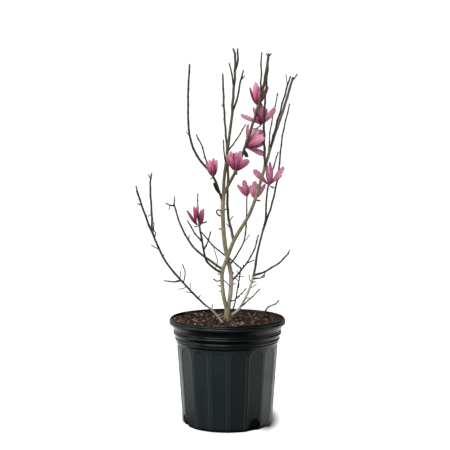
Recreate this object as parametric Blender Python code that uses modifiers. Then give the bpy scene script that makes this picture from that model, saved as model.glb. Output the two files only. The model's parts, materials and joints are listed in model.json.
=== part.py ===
"""A young magnolia shrub in a nursery pot: bare stems and twigs with pink blossoms, before the leaves.

Metres, +Z up. The origin is the middle of the pot's flat underside, and -Y is the side the plant is
seen from. The plant is two crossing stems on one foot, with low boughs, and each mass is the twigs
of one shoot.
"""

import math
import random

import bmesh
import bpy
from mathutils import Matrix, Vector

MM = 0.001
GAP = 0.3 * MM
SEED = 7

# Pot, as turned sizes
POT_HEIGHT = 250 * MM
LIP_RADIUS = 135 * MM
LIP_DEPTH = 21 * MM
COLLAR_RADIUS = 125.5 * MM
BEAD_TOP = 200 * MM
BEAD_RADIUS = 124 * MM
BODY_TOP = 191.5 * MM
BODY_TOP_RADIUS = 117 * MM
BASE_RADIUS = 103.4 * MM
BASE_ROUNDING = 12 * MM
WALL = 3 * MM
POT_STEPS = 48
SOIL_STEPS = 24

# Arched flat panels round the pot's body, and the drain holes at its foot
PANELS = 16
PANEL_TURN = math.radians(12.4)
PANEL_WIDTH = 38 * MM
PANEL_TOP = 188.8 * MM
PANEL_INSET = 0.4 * MM
DRAIN_ANGLES = (37, 109, 217, 289)
DRAIN_WIDTH = 31 * MM
DRAIN_HEIGHT = 27.5 * MM

SOIL_TOP = 242 * MM

# Limbs
PATH_STEP = 18 * MM
BOUGH_SIDES = 8
TRUNK_SIDES = 12
TWIG_SIDES = 6
THIN_SIDES = 4
THIN_RADIUS = 1.7
BUD_LENGTH = 11 * MM
BUD_WIDEST = 0.45
BUD_SWELL = 1.45
BUD_POINT = 0.35
TRUNK_HEIGHT = 38 * MM
TRUNK_RADIUS = 8.2 * MM
TRUNK_FLARE = 4.5 * MM
FLARE_HEIGHT = 9 * MM
TRUNK_FOOT = Vector((2 * MM, 0, SOIL_TOP + GAP))
TRUNK_LEAN = 0.03

# Seeded spurs along the twigs
SPUR_SPACING = 70 * MM
SPUR_LENGTHS = (7 * MM, 14 * MM)
SPUR_RADIUS = 1.2 * MM
SPUR_ANGLE = math.radians(48)
SPUR_PLACES = (0.35, 0.9)
SPUR_JITTER = 0.4
SPUR_WIDEST = 0.7
SPUR_SWELL = 1.2
GOLDEN_TURN = math.radians(137.5)
LIMB_CLEARANCE = 2 * MM

# Blossoms
PETALS = 5
PETAL_THICKNESS = 0.9 * MM
PETAL_WIDTH = 0.36
PETAL_FOOT = 0.16
PETAL_CUP = 0.10
PETAL_BOW = 0.10
PETAL_FLARE = 0.12
PETAL_RING = 2.2 * MM
PETAL_JITTER = 0.2
PETAL_LEANS = (0.75, 1.2)
PETAL_SIZES = (0.88, 1.06)
PETAL_TESTS = (0.25, 0.4, 0.55, 0.7, 0.85, 1)
RECEPTACLE_RADIUS = 3.4 * MM
RECEPTACLE_STRETCH = 1.5
STALK_RADII = (1.3 * MM, 1.4 * MM, 2 * MM)
STALK_DIP = 0.12

WOOD = (0.36, 0.31, 0.20, 1)
TWIG = (0.10, 0.09, 0.075, 1)
BLOSSOM = (0.60, 0.15, 0.32, 1)
POT_BLACK = (0.016, 0.018, 0.019, 1)
BARK_MIX = (0.075, 0.035, 0.028, 1)

# Boughs: the limb each one leaves and the height where it leaves (None is the tip), the radius
# at foot and tip, and guide points chosen along it, all in mm
BOUGHS = {
    "front_stem": ("trunk", 258, 4.7, 3.3,
                   ((-4, -3, 293), (-9, -5, 316), (-12, -9, 354), (-2, -9, 387), (16, -7, 433), (54, 5, 498),
                    (91, 26, 612))),
    "back_stem": ("trunk", 260, 5.1, 4.7,
                  ((6.5, 4, 292), (8, 6, 316), (7, 8, 353), (-6, 6, 422), (-11, 2, 497), (-9, 0, 539))),
    "leader": ("back_stem", None, 3.7, 2.9, ((-8, 4, 569), (-3, 9, 610), (4, 15, 667), (10, 20, 713))),
    "middle_bough": ("back_stem", None, 3.7, 3.1, ((1, -6, 557), (21, -14, 596), (43, -20, 655))),
    "low_left_bough": ("trunk", 247, 3.2, 2.3,
                       ((-16, -8, 250), (-24, -11, 259), (-36, -17, 274), (-52, -24, 284), (-95, -45, 331), (-140, -66, 389),
                        (-165, -80, 444))),
    "low_right_bough": ("trunk", 252, 2.6, 2.1,
                        ((27, 12, 269), (53, 31, 317), (65, 43, 359), (70, 50, 393), (91, 62, 476))),
    "back_bough": ("trunk", 256, 2.0, 1.7, ((14, 12, 271), (25, 22, 322), (32, 30, 365))),
}

# Masses: shoots as above, the first being the mass's own stem
MASSES = {
    "leader_twigs": {
        "leader_top": ("leader", None, 2.8, 1.5, ((13, 27, 759), (17, 36, 809), (18, 44, 860), (13, 46, 872))),
        "leader_right": ("leader_top", 728, 1.8, 1.3, ((22, 34, 755), (30, 50, 796), (37, 62, 822))),
        "leader_left": ("leader_top", 786, 1.4, 1.2, ((10, 26, 814), (4, 20, 838))),
        "leader_fork": ("leader_top", 822, 1.5, 1.2, ((25, 46, 846), (23, 53, 874))),
    },
    "leader_back_twig": {
        "leader_back": ("leader", 635, 1.3, 1.0, ((23, 46, 665), (44, 80, 699))),
    },
    "leader_bud_twig": {
        "leader_bud": ("leader", 608, 1.1, 1.1, ((-8, 0, 639), (-9, -4, 656))),
    },
    "middle_twigs": {
        "middle_top": ("middle_bough", None, 3.0, 1.6, ((63, -25, 716), (82, -29, 786), (94, -32, 858))),
        "middle_left": ("middle_top", 757, 1.4, 1.2, ((76, -33, 797), (77, -38, 860))),
    },
    "middle_flower": {
        "middle_flower_spur": ("middle_bough", 592, 1.6, 1.4, ((21, -34, 586), (19, -48, 592))),
    },
    "inner_shoot": {
        "inner_stem": ("front_stem", 431, 2.2, 1.5,
                       ((3, 8, 480), (0, 13, 524), (1, 26, 602), (-7, 48, 719), (-11, 64, 817))),
    },
    "left_shoot": {
        "left_stem": ("back_stem", 519, 2.1, 1.4,
                      ((-33, -14, 579), (-69, -30, 627), (-86, -38, 674), (-89, -48, 755), (-85, -60, 837))),
        "left_side": ("left_stem", 591, 1.4, 1.1, ((-52, -12, 628), (-61, -4, 655), (-74, 6, 678))),
    },
    "low_left_twigs": {
        "low_left_tip": ("low_left_bough", None, 2.2, 1.5, ((-182, -88, 489), (-204, -98, 555))),
        "low_left_upright": ("low_left_tip", 457, 1.8, 1.4,
                             ((-171, -70, 499), (-175, -58, 566), (-171, -55, 591))),
    },
    "low_left_side_twig": {
        "low_left_side": ("low_left_bough", 344, 1.4, 1.1, ((-121, -46, 340), (-148, -40, 342))),
    },
    "back_left_shoot": {
        "back_left_stem": ("front_stem", 364, 2.1, 1.3,
                           ((-40, 12, 382), (-79, 34, 411), (-109, 54, 459), (-126, 68, 510), (-125, 69, 522))),
        "back_left_side": ("back_left_stem", 506, 1.2, 1.0, ((-135, 60, 508), (-147, 52, 514))),
    },
    "front_left_shoot": {
        "front_left_stem": ("front_stem", 356, 1.9, 1.5,
                            ((-31, -18, 368), (-49, -30, 389), (-56, -42, 423), (-64, -56, 468))),
        "front_left_outer": ("front_left_stem", 432, 1.3, 1.1, ((-73, -64, 452), (-91, -76, 484))),
        "front_left_inner": ("front_left_stem", 412, 1.2, 1.0, ((-45, -30, 430), (-38, -22, 455))),
        "front_left_upright": ("front_left_stem", 465, 1.2, 0.9, ((-67, -50, 507), (-68, -46, 545))),
    },
    "back_left_low_shoot": {
        "back_left_low_stem": ("back_bough", None, 1.6, 1.2, ((5, 38, 384), (-30, 48, 410), (-65, 60, 448))),
    },
    "thin_back_shoot": {
        "thin_back_stem": ("back_stem", 372, 1.3, 1.1,
                           ((15, 20, 384), (39, 40, 426), (45, 60, 478), (46, 80, 526))),
    },
    "right_twigs": {
        "right_top": ("front_stem", None, 3.2, 1.7, ((106, 36, 662), (130, 44, 731), (154, 54, 807))),
        "right_front_side": ("right_top", 643, 1.7, 1.3, ((116, 16, 708), (143, -14, 805))),
        "right_back_side": ("right_top", 627, 1.2, 1.0, ((101, 56, 687), (119, 84, 773))),
    },
    "right_front_shoot": {
        "right_front_stem": ("front_stem", 600, 2.2, 1.4, ((84, -14, 670), (84, -36, 739), (92, -52, 839))),
    },
    "hidden_flower": {
        "hidden_flower_spur": ("front_stem", 503, 1.6, 1.3, ((60, 28, 508), (65, 46, 523))),
    },
    "low_right_twigs": {
        "low_right_tip": ("low_right_bough", None, 2.0, 1.1, ((93, 68, 529), (98, 72, 558), (121, 88, 635))),
    },
    "right_outer_shoot": {
        "right_outer_stem": ("low_right_bough", 450, 1.7, 1.2,
                             ((102, 70, 499), (113, 76, 540), (121, 81, 585), (130, 88, 667), (148, 96, 749))),
    },
    "right_low_shoot": {
        "right_low_stem": ("low_right_bough", 344, 1.8, 1.2, ((83, 28, 352), (121, 0, 379), (143, -20, 405))),
    },
    "right_low_twig": {
        "right_low_back": ("low_right_bough", 336, 1.3, 1.1, ((79, 54, 336), (88, 62, 343))),
    },
    "right_inner_shoot": {
        "right_inner_stem": ("back_stem", 334, 1.5, 1.1,
                             ((27, 14, 353), (48, 20, 380), (64, 22, 410), (73, 20, 445))),
        "right_inner_side": ("right_inner_stem", 376, 1.1, 0.9, ((56, 8, 381), (65, 4, 386))),
    },
    "foot_twig": {
        "foot_twig_stem": ("back_stem", 290, 1.3, 1.0, ((16, -8, 292), (28, -20, 305), (44, -36, 324))),
    },
    "front_right_twig": {
        "front_right_stem": ("low_right_bough", 274, 1.5, 1.0, ((41, 4, 283), (62, -24, 307), (76, -42, 325))),
    },
    "sucker": {
        "sucker_stem": (None, None, 1.5, 1.0, ((88, 86, 243.1), (91, 87, 252), (98, 82, 262), (117, 78, 272), (124, 76, 281))),
    },
}

# Blossoms: the shoot each one leaves and the height where it leaves, its base point, the
# petals' length, how far it leans right and towards the front, and how far it opens; mm and degrees
BLOSSOMS = {
    "left_shoot": (("left_stem", 574, (-33, -24, 581), 43, 0, 12, 17),),
    "middle_flower": (("middle_flower_spur", 591, (19, -49, 594), 48, 3, 20, 30),),
    "middle_twigs": (
        ("middle_top", 660, (46, -12, 646), 46, 62, -10, 30),
        ("middle_top", 700, (76, -14, 699), 52, -4, -14, 46),
        ("middle_top", 738, (68, -16, 744), 49, 4, -14, 20),
    ),
    "thin_back_shoot": (("thin_back_stem", 525, (46, 80, 529), 38, -14, 0, 17),),
    "hidden_flower": (("hidden_flower_spur", 521, (65, 46, 525), 44, 4, -6, 19),),
    "low_right_twigs": (("low_right_tip", 552, (98, 62, 557), 52, 0, 4, 38),),
    "front_left_shoot": (("front_left_stem", 466, (-64, -60, 470), 48, -8, 8, 25),),
}


def clear_scene():
    for thing in list(bpy.data.objects):
        bpy.data.objects.remove(thing, do_unlink=True)


def new_collection(name):
    made = bpy.data.collections.new(name)
    bpy.context.scene.collection.children.link(made)
    return made


def material(name, colour, roughness):
    made = bpy.data.materials.new(name)
    made.use_nodes = True
    shader = made.node_tree.nodes["Principled BSDF"]
    shader.inputs["Base Color"].default_value = colour
    shader.inputs["Roughness"].default_value = roughness
    return made


def add_object(name, mesh, collection, finish=None):
    made = bpy.data.objects.new(name, mesh)
    collection.objects.link(made)
    if finish:
        made.data.materials.clear()
        made.data.materials.append(finish)
    return made


def evaluated_mesh(thing):
    """The object's mesh with its modifiers applied and loose caps welded."""
    bpy.context.view_layer.update()
    evaluated = thing.evaluated_get(bpy.context.evaluated_depsgraph_get())
    mesh = bpy.data.meshes.new_from_object(evaluated)
    mesh.transform(thing.matrix_world)
    shape = bmesh.new()
    shape.from_mesh(mesh)
    bmesh.ops.remove_doubles(shape, verts=shape.verts, dist=0.01 * MM)
    shape.to_mesh(mesh)
    shape.free()
    return mesh


def keep_outer_shell(mesh):
    """Fills hollows that fusing sealed and drops loose scraps, by keeping the widest shell only."""
    shape = bmesh.new()
    shape.from_mesh(mesh)
    shells = []
    left = set(shape.verts)
    while left:
        shell = {left.pop()}
        edge = list(shell)
        while edge:
            vert = edge.pop()
            for link in vert.link_edges:
                other = link.other_vert(vert)
                if other in left:
                    left.discard(other)
                    shell.add(other)
                    edge.append(other)
        spread = max(v.co.z for v in shell) - min(v.co.z for v in shell)
        shells.append((spread, len(shells), shell))
    for _, _, shell in sorted(shells, key=lambda row: row[:2])[:-1]:
        bmesh.ops.delete(shape, geom=list(shell), context="VERTS")
    shape.to_mesh(mesh)
    shape.free()
    return mesh


def boolean(thing, operation, operand):
    cut = thing.modifiers.new(operation.title(), "BOOLEAN")
    cut.operation = operation
    cut.solver = "EXACT"
    if isinstance(operand, bpy.types.Collection):
        cut.operand_type = "COLLECTION"
        cut.collection = operand
    else:
        cut.object = operand
    return cut


def as_guide(thing):
    thing.hide_render = True
    thing.display_type = "WIRE"
    return thing


def arc(centre_x, centre_z, radius, start, end, count):
    """Points of an arc in the profile's plane, by angle in degrees."""
    angles = [math.radians(start + (end - start) * i / (count - 1)) for i in range(count)]
    return [(centre_x + radius * math.cos(a), centre_z + radius * math.sin(a)) for a in angles]


def turned(name, profile, steps, collection, finish=None):
    """A solid turned from a profile of (radius, height) points that starts and ends on the axis."""
    mesh = bpy.data.meshes.new(name)
    points = [(radius, 0, height) for radius, height in profile]
    mesh.from_pydata(points, [(i, i + 1) for i in range(len(points) - 1)], [])
    made = add_object(name, mesh, collection, finish)
    screw = made.modifiers.new("Turn", "SCREW")
    screw.steps = steps
    screw.render_steps = steps
    screw.use_merge_vertices = True
    screw.merge_threshold = 0.01 * MM
    screw.use_smooth_shade = True
    return made


def body_radius(height):
    return BASE_RADIUS + (BODY_TOP_RADIUS - BASE_RADIUS) * height / BODY_TOP


def inner_profile(offset):
    """The pot's inner wall from the floor's middle to the rim, moved inwards by an offset."""
    shoulder = BEAD_TOP + WALL
    return [
        (0, WALL + offset),
        (body_radius(0) - BASE_ROUNDING + WALL - offset, WALL + offset),
        (body_radius(BASE_ROUNDING) - WALL - offset, BASE_ROUNDING + offset),
        (body_radius(BODY_TOP) - WALL - offset, BODY_TOP - WALL),
        (COLLAR_RADIUS - WALL - offset, shoulder),
        (COLLAR_RADIUS - WALL - offset, POT_HEIGHT - LIP_DEPTH + WALL),
        (LIP_RADIUS - WALL - offset, POT_HEIGHT - LIP_DEPTH + 3 * WALL),
    ]


def outer_profile():
    lip_round = WALL / 2
    points = arc(LIP_RADIUS - lip_round, POT_HEIGHT - lip_round, lip_round, 180, 0, 3)
    points += [
        (LIP_RADIUS, POT_HEIGHT - LIP_DEPTH),
        (COLLAR_RADIUS, POT_HEIGHT - LIP_DEPTH - WALL / 2),
        (COLLAR_RADIUS, BEAD_TOP + WALL / 2),
        (BEAD_RADIUS, BEAD_TOP),
        (BEAD_RADIUS - WALL / 2, BEAD_TOP - 2.4 * WALL),
        (BODY_TOP_RADIUS, BODY_TOP),
    ]
    points += arc(BASE_RADIUS - BASE_ROUNDING, BASE_ROUNDING, BASE_ROUNDING, 0, -90, 4)
    points.append((0, 0))
    return points


def panel_cutter(collection):
    """A flat blade with an arched top, standing where one panel's face is."""
    lean = math.atan2(BODY_TOP_RADIUS - BASE_RADIUS, BODY_TOP)
    half_top = PANEL_WIDTH / 2
    half_foot = half_top * BASE_RADIUS / BODY_TOP_RADIUS
    springing = PANEL_TOP - half_top
    outline = arc(0, springing, half_top, 0, 180, 7) + [(-half_foot, -WALL), (half_foot, -WALL)]
    flat = math.sqrt(BASE_RADIUS ** 2 - half_foot ** 2) - PANEL_INSET
    reach = 4 * WALL
    face = Matrix.Rotation(lean, 4, "X") @ Matrix.Rotation(math.radians(90), 4, "X")
    blade = flat_solid("panel_cutter", outline, reach, collection)
    blade.matrix_world = Matrix.Translation((0, -flat - reach / 2, 0)) @ face
    return blade


def flat_solid(name, outline, thickness, collection):
    """A flat outline with a thickness, as a plain mesh lying in its own XY plane."""
    curve = bpy.data.curves.new(f"{name}_outline", "CURVE")
    curve.dimensions = "2D"
    curve.fill_mode = "BOTH"
    curve.extrude = thickness / 2
    spline = curve.splines.new("POLY")
    spline.points.add(len(outline) - 1)
    for point, (across, up) in zip(spline.points, outline):
        point.co = (across, up, 0, 1)
    spline.use_cyclic_u = True
    drawn = add_object(curve.name, curve, collection)
    made = add_object(name, evaluated_mesh(drawn), collection)
    bpy.data.objects.remove(drawn, do_unlink=True)
    return as_guide(made)


def cut_round(thing, cutter, angles, collection):
    """Cuts the thing by one joined cutter made of a blade at each angle round the axis."""
    joined = bmesh.new()
    for angle in angles:
        mesh = cutter.data.copy()
        mesh.transform(Matrix.Rotation(angle, 4, "Z") @ cutter.matrix_world)
        joined.from_mesh(mesh)
        bpy.data.meshes.remove(mesh)
    ring = bpy.data.meshes.new(cutter.name + "_ring")
    joined.to_mesh(ring)
    joined.free()
    boolean(thing, "DIFFERENCE", as_guide(add_object(ring.name, ring, collection)))
    bpy.data.objects.remove(cutter, do_unlink=True)


def make_pot(collection, cutters, finish):
    pot = turned("pot", inner_profile(0) + outer_profile(), POT_STEPS, collection, finish)
    panels = [PANEL_TURN + 2 * math.pi * i / PANELS for i in range(PANELS)]
    cut_round(pot, panel_cutter(cutters), panels, cutters)
    half = DRAIN_WIDTH / 2
    arch = arc(0, DRAIN_HEIGHT - half, half, 0, 180, 7) + [(-half, -WALL), (half, -WALL)]
    depth = BASE_ROUNDING + 2 * WALL
    drain = flat_solid("drain_cutter", arch, depth, cutters)
    drain.matrix_world = (Matrix.Translation((0, depth / 4 - BASE_RADIUS, 0))
                          @ Matrix.Rotation(math.radians(90), 4, "X"))
    cut_round(pot, drain, [math.radians(angle) for angle in DRAIN_ANGLES], cutters)
    return pot


def make_soil(collection, finish):
    """The bark mix that fills the pot: its inner wall's shape up to the soil's level top under the rim."""
    wall = inner_profile(GAP)
    top = [(0, SOIL_TOP), (wall[-1][0], SOIL_TOP)]
    return turned("soil", top + wall[::-1], SOIL_STEPS, collection, finish)


def smooth_path(points, step=PATH_STEP):
    """Evenly spaced points on a smooth curve through the guide points."""
    ends = [2 * points[0] - points[1]] + points + [2 * points[-1] - points[-2]]
    fine = []
    for before, start, end, after in zip(ends, ends[1:], ends[2:], ends[3:]):
        span = (end - start).length
        leave = (end - before) * span / ((end - start).length + (start - before).length)
        arrive = (after - start) * span / ((after - end).length + (end - start).length)
        for i in range(16):
            t = i / 16
            fine.append(
                start * (2 * t ** 3 - 3 * t ** 2 + 1) + leave * (t ** 3 - 2 * t ** 2 + t)
                + end * (3 * t ** 2 - 2 * t ** 3) + arrive * (t ** 3 - t ** 2)
            )
    fine.append(points[-1])
    lengths = [0]
    for a, b in zip(fine, fine[1:]):
        lengths.append(lengths[-1] + (b - a).length)
    count = max(2, round(lengths[-1] / step))
    path = []
    k = 0
    for i in range(count + 1):
        along = lengths[-1] * i / count
        while k < len(fine) - 2 and lengths[k + 1] < along:
            k += 1
        share = (along - lengths[k]) / max(lengths[k + 1] - lengths[k], 1e-9)
        path.append(fine[k].lerp(fine[k + 1], min(share, 1)))
    return path


class Limb:
    """One tapering limb: a smooth path with a radius at each of its points."""

    def __init__(self, name, path, radii, node):
        self.name = name
        self.path = path
        self.radii = radii
        self.node = node

    def at_height(self, height):
        """The point, direction and radius where the path first reaches a height."""
        for i, (a, b) in enumerate(zip(self.path, self.path[1:])):
            if b.z >= height:
                share = max(0, (height - a.z) / (b.z - a.z))
                radius = self.radii[i] + (self.radii[i + 1] - self.radii[i]) * share
                return a.lerp(b, share), (b - a).normalized(), radius
        return self.path[-1], (self.path[-1] - self.path[-2]).normalized(), self.radii[-1]


def grow(name, node, host, leaves_at, foot, tip, route, budded):
    """A limb that starts on its host's axis, or at its route's first point, and may end in a bud."""
    points = [Vector(point) * MM for point in route]
    if host:
        height = host.path[-1].z if leaves_at is None else leaves_at * MM
        start, way, _ = host.at_height(height)
        if leaves_at is None:
            start = start - way * GAP
        points.insert(0, start)
    end = points[-1]
    if budded:
        points[-1] = end - (end - points[-2]).normalized() * BUD_LENGTH
    path = smooth_path(points)
    last = len(path) - 1
    radii = [(foot + (tip - foot) * i / last) * MM for i in range(last + 1)]
    if budded:
        path += [path[-1].lerp(end, BUD_WIDEST), end]
        radii += [tip * BUD_SWELL * MM, tip * BUD_POINT * MM]
    return Limb(name, path, radii, node)


def tube(limb, sides, collection, grown=0.0):
    """The limb as a closed mesh, made larger all round and at its ends by an amount."""
    path = list(limb.path)
    if grown:
        path[0] = path[0] - (path[1] - path[0]).normalized() * grown
        path[-1] = path[-1] + (path[-1] - path[-2]).normalized() * grown
    curve = bpy.data.curves.new(f"{limb.name}_line", "CURVE")
    curve.dimensions = "3D"
    curve.bevel_depth = 1
    curve.bevel_resolution = sides // 2 - 2
    curve.use_fill_caps = True
    spline = curve.splines.new("POLY")
    spline.points.add(len(path) - 1)
    for point, place, radius in zip(spline.points, path, limb.radii):
        point.co = (*place, 1)
        point.radius = radius + grown
    drawn = add_object(curve.name, curve, collection)
    made = add_object(limb.name, evaluated_mesh(drawn), collection)
    bpy.data.objects.remove(drawn, do_unlink=True)
    return made


def nearest(point, path):
    """How far a point lies from a path, and how far along the path."""
    best = (math.inf, 0)
    for i, (a, b) in enumerate(zip(path, path[1:])):
        span = b - a
        share = min(1, max(0, (point - a).dot(span) / span.length_squared))
        best = min(best, ((point - a - span * share).length, i + share))
    return best


def touches(points, radius, node, limbs):
    """Whether anything along the points comes near a limb of another node."""
    for limb in limbs:
        if limb.node == node:
            continue
        room = max(limb.radii) + radius + LIMB_CLEARANCE
        for point in points:
            if nearest(point, limb.path)[0] < room:
                return True
    return False


def side_way(way, turn, angle):
    """A direction that leaves a shoot at an angle, turned round it."""
    around = Matrix.Rotation(turn, 3, way) @ way.orthogonal().normalized()
    return (way * math.cos(angle) + around * math.sin(angle)).normalized()


def seeded_spurs(shoot, limbs, rng):
    """Short budded spurs in a spiral up a shoot, leaving out those that would touch another limb."""
    spurs = []
    woody = shoot.path[:-3]
    length = sum((b - a).length for a, b in zip(woody, woody[1:]))
    count = int(length / SPUR_SPACING)
    for i in range(count):
        index = round((i + rng.uniform(*SPUR_PLACES)) * (len(woody) - 1) / count)
        place = woody[index]
        way = (shoot.path[index + 1] - place).normalized()
        out = side_way(way, i * GOLDEN_TURN + rng.uniform(-SPUR_JITTER, SPUR_JITTER), SPUR_ANGLE)
        reach = rng.uniform(*SPUR_LENGTHS)
        path = [place, place + out * reach * SPUR_WIDEST, place + out * reach]
        radii = [SPUR_RADIUS, SPUR_RADIUS * SPUR_SWELL, SPUR_RADIUS * BUD_POINT]
        if not touches(path[1:], SPUR_RADIUS, shoot.node, limbs):
            spurs.append(Limb(f"{shoot.name}_spur", path, radii, shoot.node))
    return spurs


def petal_curve(along):
    """How far a petal's middle line bows outwards and flares, as a share of its length."""
    return PETAL_BOW * math.sin(math.pi * along) + PETAL_FLARE * along ** 2.5


def petal_outline(along):
    """How wide a petal is, as a share of its widest: a narrow foot, widest past the middle."""
    return PETAL_FOOT + (1 - PETAL_FOOT) * math.sin(0.9 * math.pi * along ** 1.5)


def petal(name, length, collection):
    """One cupped petal, its foot at the origin and its tip up +Z, with its hollow side towards +Y."""
    shape = bmesh.new()
    bmesh.ops.create_grid(shape, x_segments=2, y_segments=3, size=1)
    for vert in shape.verts:
        across = vert.co.x
        along = (vert.co.y + 1) / 2
        width = PETAL_WIDTH * length / 2 * petal_outline(along)
        cup = PETAL_CUP * length * across ** 2 * math.sin(math.pi * along)
        vert.co = (across * width, cup - petal_curve(along) * length, along * length)
    mesh = bpy.data.meshes.new(name)
    shape.to_mesh(mesh)
    shape.free()
    made = add_object(name, mesh, collection)
    thick = made.modifiers.new("Thick", "SOLIDIFY")
    thick.thickness = PETAL_THICKNESS
    thick.offset = 0
    return made


def blossom_stalk(node, start, base):
    """A short stalk from the shoot that dips a little on its way to the blossom's base."""
    dip = Vector((0, 0, STALK_DIP * (base - start).length))
    return Limb(f"{node}_stalk", [start, start.lerp(base, 0.5) - dip, base], STALK_RADII, node)


def blossom(node, host, row, limbs, rng, collection):
    """A stalk, the swollen base, and petals opening round it that keep clear of other limbs."""
    _, leaves_at, base, length, right, front, opening = row
    base = Vector(base) * MM
    start, _, _ = host.at_height(leaves_at * MM)
    tube(blossom_stalk(node, start, base), THIN_SIDES, collection)
    stand = (Matrix.Translation(base) @ Matrix.Rotation(math.radians(right), 4, "Y")
             @ Matrix.Rotation(math.radians(front), 4, "X"))
    shape = bmesh.new()
    bmesh.ops.create_uvsphere(shape, u_segments=8, v_segments=5, radius=RECEPTACLE_RADIUS,
                              matrix=stand @ Matrix.Diagonal((1, 1, RECEPTACLE_STRETCH, 1)))
    knob = bpy.data.meshes.new(f"{node}_receptacle")
    shape.to_mesh(knob)
    shape.free()
    add_object(knob.name, knob, collection)
    for i in range(PETALS):
        turn = 2 * math.pi * i / PETALS + rng.uniform(-PETAL_JITTER, PETAL_JITTER)
        lean = math.radians(opening * rng.uniform(*PETAL_LEANS))
        size = length * MM * rng.uniform(*PETAL_SIZES)
        place = (stand @ Matrix.Rotation(turn, 4, "Z") @ Matrix.Translation((0, -PETAL_RING, 0))
                 @ Matrix.Rotation(lean, 4, "X"))
        middle = [place @ Vector((0, -petal_curve(t) * size, t * size)) for t in PETAL_TESTS]
        if not touches(middle, PETAL_WIDTH * size / 2, node, limbs):
            petal(f"{node}_petal", size, collection).matrix_world = place


def root_flare(height):
    return TRUNK_FLARE * math.exp(-height / FLARE_HEIGHT)


def trunk_limb():
    """The foot: a flared stump from the soil to the fork of the two stems."""
    heights = [TRUNK_HEIGHT * i / 6 for i in range(7)]
    path = [TRUNK_FOOT + Vector((TRUNK_LEAN * max(0, h - heights[1]), 0, h)) for h in heights]
    return Limb("trunk", path, [TRUNK_RADIUS + root_flare(h) for h in heights], "trunk")


def sides_of(limb):
    if limb.name == "trunk":
        return TRUNK_SIDES
    if limb.name in BOUGHS:
        return BOUGH_SIDES
    return TWIG_SIDES if limb.radii[0] >= THIN_RADIUS * MM else THIN_SIDES


def crowding(limb, others):
    """The limbs of other nodes that a limb meets or comes too near to, such as its host."""
    found = []
    for other in others:
        gaps = []
        for start, end, radius in zip(limb.path, limb.path[1:], limb.radii):
            for share in (0, 0.25, 0.5, 0.75):
                gap, along = nearest(start.lerp(end, share), other.path)
                gaps.append(gap - radius - other.radii[round(along)])
        if other.node != limb.node and min(gaps) < 2 * GAP:
            found.append(other)
    return found


def cut_clear(thing, limb, others, collection):
    """Cuts a limb, or the mass on it, clear of the limbs it meets."""
    for other in crowding(limb, others):
        clearance = tube(other, sides_of(other), collection, grown=GAP)
        clearance.name = f"{limb.name}_clear_of_{other.name}"
        boolean(thing, "DIFFERENCE", as_guide(clearance))


def make_boughs(limbs, parts, cutters, finish):
    """The trunk and boughs, each cut clear of its host and of the boughs made before it."""
    made = []
    for name in ("trunk", *BOUGHS):
        bough = tube(limbs[name], sides_of(limbs[name]), parts)
        bough.data.materials.append(finish)
        cut_clear(bough, limbs[name], made, cutters)
        made.append(limbs[name])


def make_masses(limbs, parts, cutters, twig, bloom, rng):
    """Each mass: its shoots, seeded spurs and blossoms fused, and cut clear of the limbs it meets."""
    made = [limbs[name] for name in ("trunk", *BOUGHS)]
    for node, shoots in MASSES.items():
        pieces = new_collection(f"{node}_pieces")
        own = [limbs[name] for name in shoots]
        spurs = [spur for shoot in own for spur in seeded_spurs(shoot, limbs.values(), rng)]
        stem = tube(own[0], sides_of(own[0]), parts)
        for limb in own[1:] + spurs:
            tube(limb, sides_of(limb), pieces)
        for row in BLOSSOMS.get(node, ()):
            blossom(node, limbs[row[0]], row, limbs.values(), rng, pieces)
        if pieces.objects:
            boolean(stem, "UNION", pieces)
        cut_clear(stem, own[0], made, cutters)
        add_object(node, keep_outer_shell(evaluated_mesh(stem)), parts, bloom if node in BLOSSOMS else twig)
        for piece in list(pieces.objects) + [stem]:
            bpy.data.objects.remove(piece, do_unlink=True)
        bpy.data.collections.remove(pieces)
        made += own


def main():
    clear_scene()
    rng = random.Random(SEED)
    parts = new_collection("potted_magnolia")
    cutters = new_collection("cutters")
    wood = material("wood", WOOD, 0.8)
    twig = material("twig", TWIG, 0.75)
    bloom = material("blossom", BLOSSOM, 0.55)
    make_pot(parts, cutters, material("pot", POT_BLACK, 0.4))
    make_soil(parts, material("soil", BARK_MIX, 0.95))

    limbs = {"trunk": trunk_limb()}
    for name, (host, leaves_at, foot, tip, route) in BOUGHS.items():
        limbs[name] = grow(name, name, limbs[host], leaves_at, foot, tip, route, False)
    for node, shoots in MASSES.items():
        for name, (host, leaves_at, foot, tip, route) in shoots.items():
            limbs[name] = grow(name, node, limbs.get(host), leaves_at, foot, tip, route, True)

    make_boughs(limbs, parts, cutters, wood)
    make_masses(limbs, parts, cutters, twig, bloom, rng)


main()
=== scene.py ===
"""A young magnolia in its nursery pot, in early spring: pot, bark mulch, stems, twigs and blossoms."""
import json
import math
import random

import bmesh
import bpy
import numpy as np
from mathutils import Matrix, Vector, noise

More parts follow.
